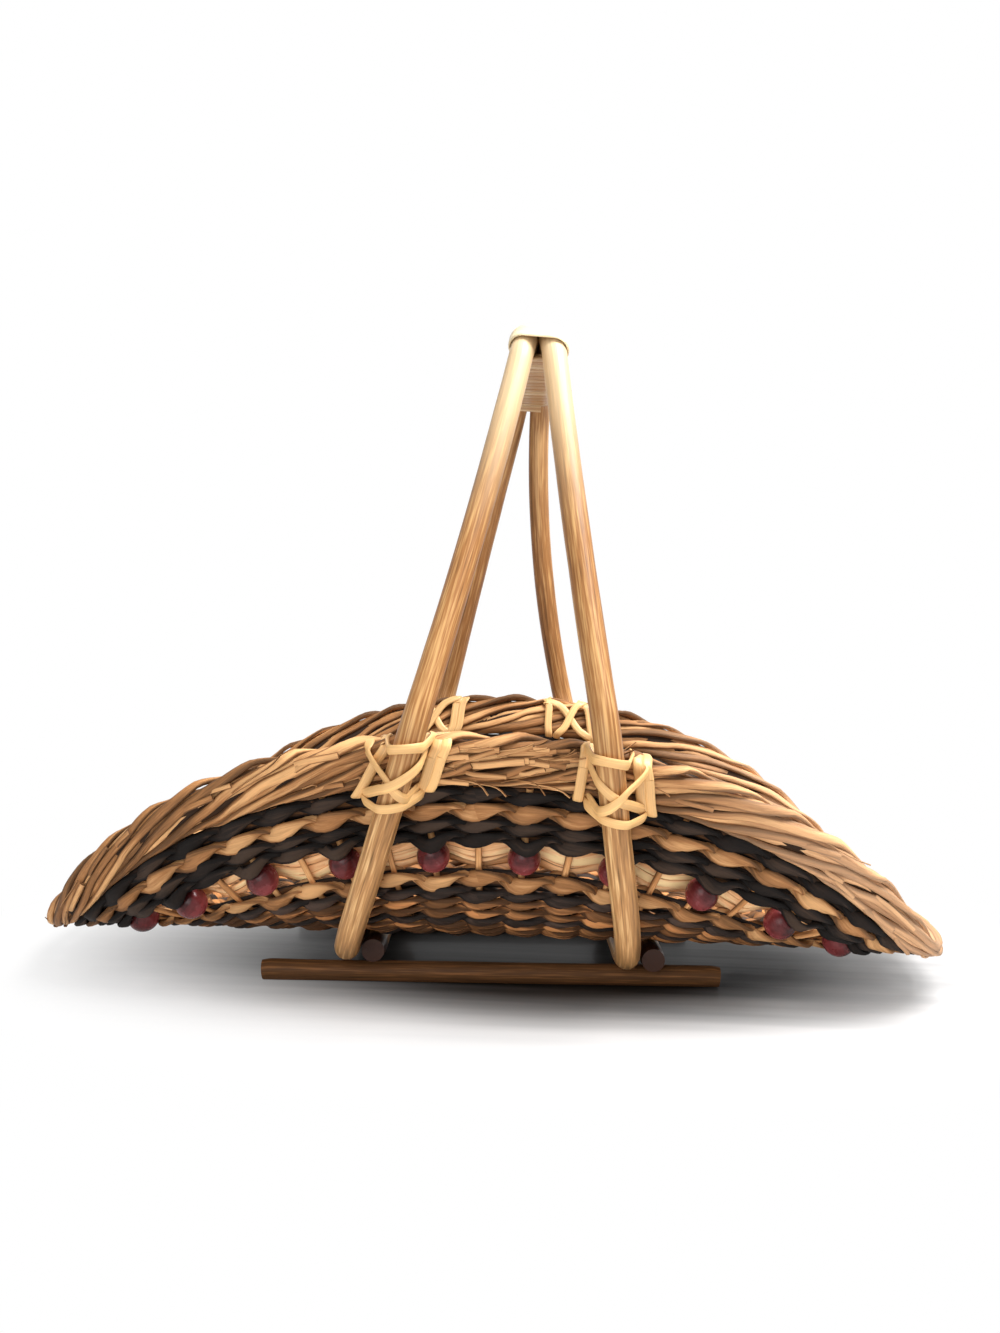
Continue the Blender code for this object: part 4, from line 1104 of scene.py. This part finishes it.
class BASKET_OT_wrap(bpy.types.Operator):
    """Wind the flat cane round both poles of the handle"""
    bl_idname = "basket.wrap"
    bl_label = "Handle Wrap"

    def execute(self, context):
        look = context.scene.basket_frame
        material = cane_material("flat cane", look.cane, scaled(look.cane, 1.25))
        per_loop = 40
        turns = np.arange(WRAP_LOOPS * per_loop + 1) / per_loop
        rng = np.random.default_rng(5)
        along = (WRAP_START + WRAP_END) / 2.0 + WRAP_PITCH * (turns - WRAP_LOOPS / 2.0)
        along = along + 0.00020 * drift(turns, WRAP_LOOPS, WRAP_LOOPS, rng)
        line, normals, stretch = self.round_both_poles(along, turns % 1.0)
        # Painted shade: the tone is darker where the cane faces down, on top of slow random changes
        # along it.
        tone = (0.5 + 0.3 * drift(turns, WRAP_LOOPS, WRAP_LOOPS * 2, rng)
                - np.maximum(-normals[:, 2], 0.0))
        half_width = (WRAP_PITCH / 2.0 - 0.00012) * stretch
        made = open_strands("wound_cane", line[None], normals[None], half_width,
                            WRAP_THICKNESS / 2.0, oval_section(12, 0.45), tone, material)
        place_piece(made, "handle_wrap")
        return {"FINISHED"}

    def round_both_poles(self, along, share):
        """Places round the handle, the outward directions there and how far its bends stretch them.

        The way round the section is half a circle, a straight, half a circle and a straight, shared
        out by length. In a bend the section turns about the bend's centre, so that a place further
        from it moves on by more.
        """
        reach = POLE_RADIUS + CLEARANCE + WRAP_THICKNESS / 2.0
        arc = HALF_TURN * reach
        place = share * 2.0 * (arc + POLE_PITCH)
        later = place - arc - POLE_PITCH
        turn = sum(np.clip(part / reach, 0.0, HALF_TURN)
                   for part in (place, later)) - HALF_TURN / 2.0
        over, under = (np.clip((part - arc) / POLE_PITCH, 0.0, 1.0) for part in (place, later))
        mix = over - under
        rise = reach * np.sin(turn)
        bend = np.clip(along, FRONT_BEND, BACK_BEND)
        down = (along - bend) / TOP_BEND_RADIUS
        height = HOOP_HEIGHT - TOP_BEND_RADIUS * (1.0 - np.cos(down))
        left, right = (
            np.where(along > 0.0, pole_x(height, side, True), pole_x(height, side, False))
            for side in (-1.0, 1.0))
        across = right * (1.0 - mix) + left * mix + reach * np.cos(turn)
        y = bend + (TOP_BEND_RADIUS + rise) * np.sin(down)
        line = np.stack(to_mat(across, y, height + rise * np.cos(down)), axis=-1)
        out = np.sin(turn)
        normals = np.stack([np.cos(turn), out * np.sin(down), out * np.cos(down)], axis=-1)
        return line, normals, np.where(down == 0.0, 1.0, 1.0 + rise / TOP_BEND_RADIUS)


def leg_place(side, back, height):
    """Centre of a leg beside the mat, on the straight between its foot bend and its tie bend."""
    rise = (height - FOOT_CORNER.y) / (TIE_CORNER.y - FOOT_CORNER.y)
    y = FOOT_CORNER.lerp(TIE_CORNER, rise).x
    return Vector(to_mat(pole_x(height, side, back), y if back else -y, height))


class Tie:
    """Where a leg crosses the border: u runs along it, v towards the rim, w out of its face."""

    def __init__(self, side, back):
        facing = 1.0 if back else -1.0
        long_half = HALF_LENGTH - BORDER_MIDDLE[1]
        short_half = HALF_WIDTH - BORDER_MIDDLE[0]
        x = leg_place(side, back, TIE_HEIGHT).x
        share = math.sqrt(1.0 - (x / long_half) ** 2)
        slope = -short_half * x / (long_half ** 2 * share)
        up_sheet = Vector((0.0, facing * math.cos(SIDE_SLOPE), math.sin(SIDE_SLOPE)))
        along = (Vector((1.0, 0.0, 0.0)) + up_sheet * slope).normalized()
        away = Vector((0.0, facing * math.sin(SIDE_SLOPE), -math.cos(SIDE_SLOPE)))
        self.origin = Vector(sheet_frame(x, facing * short_half * share, 0.0)[0])
        self.axes = Matrix((along, away.cross(along) * -facing, away)).transposed()
        self.bow_radius = long_half ** 2 / short_half
        self.back = back
        near, far = (self.to_tie(leg_place(side, back, self.origin.z + rise))
                     for rise in (-BORDER_WIDTH / 2.0, BORDER_WIDTH / 2.0))
        self.leg_start = near
        self.leg_run = (far - near) / (far.y - near.y)

    def to_tie(self, point):
        return self.axes.inverted() @ (point - self.origin)

    def from_tie(self, points):
        """World places of many points, bowed as the border is: down by the square of u."""
        bowed = np.array(points, dtype=float)
        bowed[..., 1] -= bowed[..., 0] ** 2 / (2.0 * self.bow_radius)
        return bowed @ np.array(self.axes).T + np.array(self.origin)

    def leg_at(self, v):
        return self.leg_start + self.leg_run * (v - self.leg_start.y)


def over_leg(tie, start, end, lift, count=9):
    """Places and outward directions of a strip pulled from start over the round of the leg to end.

    In each cross-section the way is straight to where it touches the leg and then follows its arc.
    Along the leg it moves evenly from the height of start to that of end.
    """
    reach = POLE_RADIUS + CLEARANCE + HALF_STRIP + lift
    angles = []
    for foot in (start, end):
        leg = tie.leg_at(foot[1])
        aside, drop = foot[0] - leg.x, foot[2] - leg.z
        pull = math.acos(min(0.999, reach / math.hypot(aside, drop)))
        angles.append(math.copysign(math.atan2(abs(aside), drop) - pull, aside))
    middle = tie.leg_at((start[1] + end[1]) / 2.0).x
    route = []
    for part in range(count):
        angle = angles[0] + (angles[1] - angles[0]) * part / (count - 1)
        u = middle + reach * math.sin(angle)
        v = start[1] + (end[1] - start[1]) * (u - start[0]) / (end[0] - start[0])
        leg = tie.leg_at(v)
        out = (math.sin(angle), 0.0, math.cos(angle))
        route.append((leg.x + reach * out[0], v, leg.z + reach * out[2], *out))
    return [(*start, *route[0][3:])] + route + [(*end, *route[-1][3:])]


def round_border(u_rim, u_slot, lift):
    """The way in through the slot, up behind the border and over the rim, with its directions."""
    face, low, high = TIE_FACE + lift, TIE_SLOT, TIE_RIM + lift
    inner, outer = u_slot * 0.7 + u_rim * 0.3, u_slot * 0.3 + u_rim * 0.7
    behind = [(inner, low * 0.55, -face, 0.0, 0.0, -1.0),
              (outer, high * 0.55, -face, 0.0, 0.0, -1.0)]
    slot, rim = [], []
    for part in (-1.0, 0.0, 1.0):
        bend = abs(part)
        out, up = 0.8 * part, 1.0 - 0.4 * bend
        slot.append((u_slot, low + 0.0010 * bend, -face * out, 0.0, -up, -out))
        rim.append((u_rim, high * (1.0 - 0.12 * bend), face * out, 0.0, up, out))
    return slot + behind + rim


def humped(route, height):
    """A route raised along the leg by the sine of how far along it each point comes."""
    last = len(route) - 1
    return [(u, v + height * math.sin(HALF_TURN * index / last), *rest)
            for index, (u, v, *rest) in enumerate(route)]


class BASKET_OT_lashings(bpy.types.Operator):
    """Tie the legs to the border with crossed strips of cane"""
    bl_idname = "basket.lashings"
    bl_label = "Lashings"

    def execute(self, context):
        look = context.scene.basket_frame
        material = cane_material("half-round cane", look.tie, scaled(look.tie, 1.35), 0.48)
        for depth_word, back in (("front", False), ("back", True)):
            for side_word, side in (("left", -1.0), ("right", 1.0)):
                self.add_tie(f"lashing_{depth_word}_{side_word}", Tie(side, back), material)
        return {"FINISHED"}

    def add_tie(self, node, tie, material):
        """All strips of one tie, each as a smooth line of the same number of points."""
        routes = [self.crossed(tie, -1.0, 0.0), self.crossed(tie, 1.0, 0.0010),
                  self.beside(tie, -0.0100, -0.0160), self.beside(tie, 0.0118, 0.0118),
                  self.beside(tie, 0.0156, 0.0156), self.top_band(tie), self.lower_band(tie)]
        lines = np.stack([smooth_line(route, 110) for route in routes])
        normals = unit(lines[..., 3:]) @ np.array(tie.axes).T
        tone = np.random.default_rng(len(node)).uniform(0.2, 0.9, (len(routes), 1))
        made = open_strands(f"cane_{node}", tie.from_tie(lines[..., :3]), normals,
                            LASHING_WIDTH * 0.68, LASHING_THICKNESS * 0.75,
                            oval_section(10, 0.75), tone, material)
        place_piece(made, node)

    def crossed(self, tie, side, lift):
        """From the rim on one side over the leg to the slot on the other, and back behind."""
        at_rim, at_slot = tie.leg_at(TIE_RIM).x, tie.leg_at(TIE_SLOT).x
        if tie.back:
            start = (at_rim + side * 0.0105, TIE_RIM * 0.88, TIE_FACE * 0.8 + lift)
            end = (at_slot - side * 0.0110, TIE_SLOT + 0.0016, TIE_FACE * 0.8 + lift)
            over = over_leg(tie, start, end, lift)
            return over + round_border(start[0], end[0], lift) + over[:1]
        start = ((at_rim + at_slot) / 2.0 + side * 0.0120, TIE_RIM * 0.78, TIE_FACE * 0.9 + lift)
        end = (at_slot - side * 0.0115, TIE_SLOT * 0.70, TIE_FACE + lift)
        rim = [(start[0], TIE_RIM * 0.9, -TIE_FACE * 0.8, 0.0, 0.6, -0.8),
               (start[0], TIE_RIM, 0.0, 0.0, 1.0, 0.0)]
        tucked = (end[0] - side * 0.0012, end[1] - 0.0012, TIE_FACE * 0.35, 0.0, -0.5, 0.86)
        return rim + over_leg(tie, start, end, lift) + [tucked]

    def beside(self, tie, at_rim, at_slot):
        """Straight round the border beside the leg, from a place at the rim to one at the slot."""
        u_rim = at_rim + tie.leg_at(TIE_RIM).x
        u_slot = at_slot + tie.leg_at(TIE_SLOT).x
        face = TIE_FACE + 0.0004
        front = [(u_rim * 0.75 + u_slot * 0.25, TIE_RIM * 0.5, face, 0.0, 0.0, 1.0),
                 (u_rim * 0.25 + u_slot * 0.75, TIE_SLOT * 0.5, face, 0.0, 0.0, 1.0)]
        return front + round_border(u_rim, u_slot, 0.0002) + front[:1]

    def top_band(self, tie):
        """Over the leg just above the rim, with both ends turned down behind the border."""
        level = TIE_RIM + 0.0014
        centre = tie.leg_at(level).x
        left, right = ((centre + side * 0.0092, level, TIE_FACE * 0.6) for side in (-1.0, 1.0))
        ends = [[(centre + side * 0.0098, level - 0.0006, -0.001, side * 0.5, 0.86, 0.0),
                 (centre + side * 0.0098, level - 0.0060, -TIE_FACE - 0.0006, 0.0, 0.2, -0.98)]
                for side in (-1.0, 1.0)]
        return ends[0][::-1] + humped(over_leg(tie, left, right, BAND_LIFT), 0.0040) + ends[1]

    def lower_band(self, tie):
        """Over the leg just below the border, its ends turned in through the slot."""
        centre = tie.leg_at(TIE_SLOT).x
        left, right = ((centre + side * 0.0125, TIE_SLOT + 0.0010, TIE_FACE + 0.0010)
                       for side in (-1.0, 1.0))
        ends = [(u, TIE_SLOT, -TIE_FACE * 0.4, 0.0, -1.0, 0.0) for u in (left[0], right[0])]
        return ends[:1] + humped(over_leg(tie, left, right, BAND_LIFT), 0.0012) + ends[1:]


class BASKET_OT_stage(bpy.types.Operator):
    """Set the pale floor and backdrop, the lamps and the camera"""
    bl_idname = "basket.stage"
    bl_label = "Stage"

    def execute(self, context):
        look = context.scene.basket_stage
        self.add_floor()
        context.scene.world = self.add_world(look)
        self.add_lamp("Key", look.key, 0.8, (-0.30, -1.25, 0.50))
        self.add_lamp("Top", look.top, 0.7, (0.50, -0.15, 1.20))
        context.scene.camera = self.add_camera(look)
        context.scene.view_settings.view_transform = "Standard"
        return {"FINISHED"}

    def add_floor(self):
        """A wide sheet that curves up at the back: flat, then a quarter circle, then upright."""
        bend = 1.2
        turn = np.linspace(0.0, HALF_TURN / 2.0, 24)
        y = np.concatenate([[-3.0, -1.0, 0.0, 1.0], 2.0 + bend * np.sin(turn),
                            [2.0 + bend]])[:, None]
        z = np.concatenate([[0.0, 0.0, 0.0, 0.0], bend * (1.0 - np.cos(turn)), [5.0]])[:, None]
        points = np.stack(np.broadcast_arrays(np.linspace(-4.0, 4.0, 9), y, z), axis=-1)
        index = np.arange(points.size // 3).reshape(points.shape[:2])
        faces = np.stack([index[:-1, :-1], index[:-1, 1:], index[1:, 1:], index[1:, :-1]], axis=-1)
        mesh = bpy.data.meshes.new("floor")
        mesh.from_pydata(points.reshape(-1, 3).tolist(), [], faces.reshape(-1, 4).tolist())
        add_object("floor", mesh, self.floor_material())

    def floor_material(self):
        """Glossy white table: streaks and a painted shadow near the basket, white further off.

        Nearness is the distance from a place under the basket, counted more in depth than across.
        """
        recipe = Recipe(bpy.data.materials.new("white table"))
        place = recipe.place()
        streaks = recipe.noise(recipe.vector_maths("MULTIPLY", place, (4.0, 60.0, 1.0)), 1.0)
        nearby = recipe.vector_maths("SUBTRACT", place, (0.03, 0.0, 0.0))
        ovals = [recipe.vector_maths("MULTIPLY", nearby, (1.0, depth, 1.0)) for depth in (2.0, 1.7)]
        under, distance = (recipe.vector_maths("LENGTH", oval, output="Value") for oval in ovals)
        # Painted shadow: the base colour is near black under the basket and pale further off.
        painted_shadow_grey = recipe.mixed(recipe.ranged(under + (streaks - 0.5) * 0.10, 0.10, 0.26),
                            (0.012, 0.011, 0.010), (0.74, 0.725, 0.72))
        recipe.finish(Base_Color=painted_shadow_grey, Roughness=0.5, Specular_IOR_Level=0.3, Coat_Weight=0.10,
                      Coat_Roughness=0.12, Normal=recipe.bump(streaks, 0.002, 0.35))
        white = recipe.node("ShaderNodeEmission", None, {"Color": (1.0, 1.0, 1.0), "Strength": 1.0})
        share = recipe.seen_directly("Camera", "Glossy", "Transmission")
        share = share * recipe.ranged(distance, 0.10, 0.32)
        both = recipe.node("ShaderNodeMixShader", None, {0: share, 1: recipe.shader, 2: white})
        recipe.link(both, recipe.surface)
        return recipe.owner

    def add_world(self, look):
        """Even light from all sides, which looks white itself."""
        recipe = Recipe(bpy.data.worlds.new("studio"), "ShaderNodeBackground",
                        "ShaderNodeOutputWorld")
        seen = recipe.seen_directly("Camera", "Glossy")
        strength = recipe.ranged(seen, 0.0, 1.0, look.world, 1.0, "LINEAR")
        return recipe.finish(Color=(1.0, 1.0, 1.0), Strength=strength)

    def add_lamp(self, name, power, size, place):
        """A square lamp turned to the middle of the mat."""
        lamp = bpy.data.lights.new(name, "AREA")
        lamp.energy = power
        lamp.size = size
        made = bpy.data.objects.new(name, lamp)
        made.location = place
        made.rotation_euler = (Vector((0.0, 0.0, 0.10))
                               - Vector(place)).to_track_quat("-Z", "Y").to_euler()
        bpy.context.scene.collection.objects.link(made)

    def add_camera(self, look):
        """The photograph's camera: a little right of the middle and above, turned and rolled."""
        heading, pitch, roll = 0.066, math.radians(2.43), math.radians(0.97)
        place = Vector((0.0400, -0.5767, 0.1719))
        level = Vector((math.cos(heading), math.sin(heading), 0.0))
        forward = Vector((-level.y * math.cos(pitch), level.x * math.cos(pitch), -math.sin(pitch)))
        upright = level.cross(forward)
        right = level * math.cos(roll) + upright * math.sin(roll)
        up = upright * math.cos(roll) - level * math.sin(roll)
        data = bpy.data.cameras.new("Photograph")
        data.lens = look.lens
        data.sensor_fit = "HORIZONTAL"
        data.clip_start = 0.01
        made = bpy.data.objects.new("Photograph", data)
        turned = Matrix((right, up, -forward)).transposed().to_4x4()
        made.matrix_world = Matrix.Translation(place) @ turned
        bpy.context.scene.collection.objects.link(made)
        return made


class BASKET_PT_tools(bpy.types.Panel):
    """Makes each group of pieces"""
    bl_label = "Wicker Basket"
    bl_idname = "BASKET_PT_tools"
    bl_space_type = "VIEW_3D"
    bl_region_type = "UI"
    bl_category = "Basket"

    def draw(self, context):
        for group in SETTINGS:
            settings = getattr(context.scene, group)
            for name in settings.__annotations__:
                self.layout.prop(settings, name)
        for operator in OPERATORS:
            self.layout.operator(operator.bl_idname)


SETTINGS = {"basket_weave": BasketWeaveSettings, "basket_frame": BasketFrameSettings,
            "basket_stage": BasketStageSettings}
OPERATORS = (BASKET_OT_stage, BASKET_OT_hoops, BASKET_OT_runners, BASKET_OT_wrap,
             BASKET_OT_woven_rows, BASKET_OT_open_row, BASKET_OT_floor, BASKET_OT_border,
             BASKET_OT_beads, BASKET_OT_lashings)


def register():
    for name, group in SETTINGS.items():
        bpy.utils.register_class(group)
        setattr(bpy.types.Scene, name, PointerProperty(type=group))
    for operator in OPERATORS:
        bpy.utils.register_class(operator)
    bpy.utils.register_class(BASKET_PT_tools)


def unregister():
    bpy.utils.unregister_class(BASKET_PT_tools)
    for operator in reversed(OPERATORS):
        bpy.utils.unregister_class(operator)
    for name, group in SETTINGS.items():
        delattr(bpy.types.Scene, name)
        bpy.utils.unregister_class(group)


def main():
    register()
    for operator in OPERATORS:
        space, name = operator.bl_idname.split(".")
        getattr(getattr(bpy.ops, space), name)()


if __name__ == "__main__":
    main()
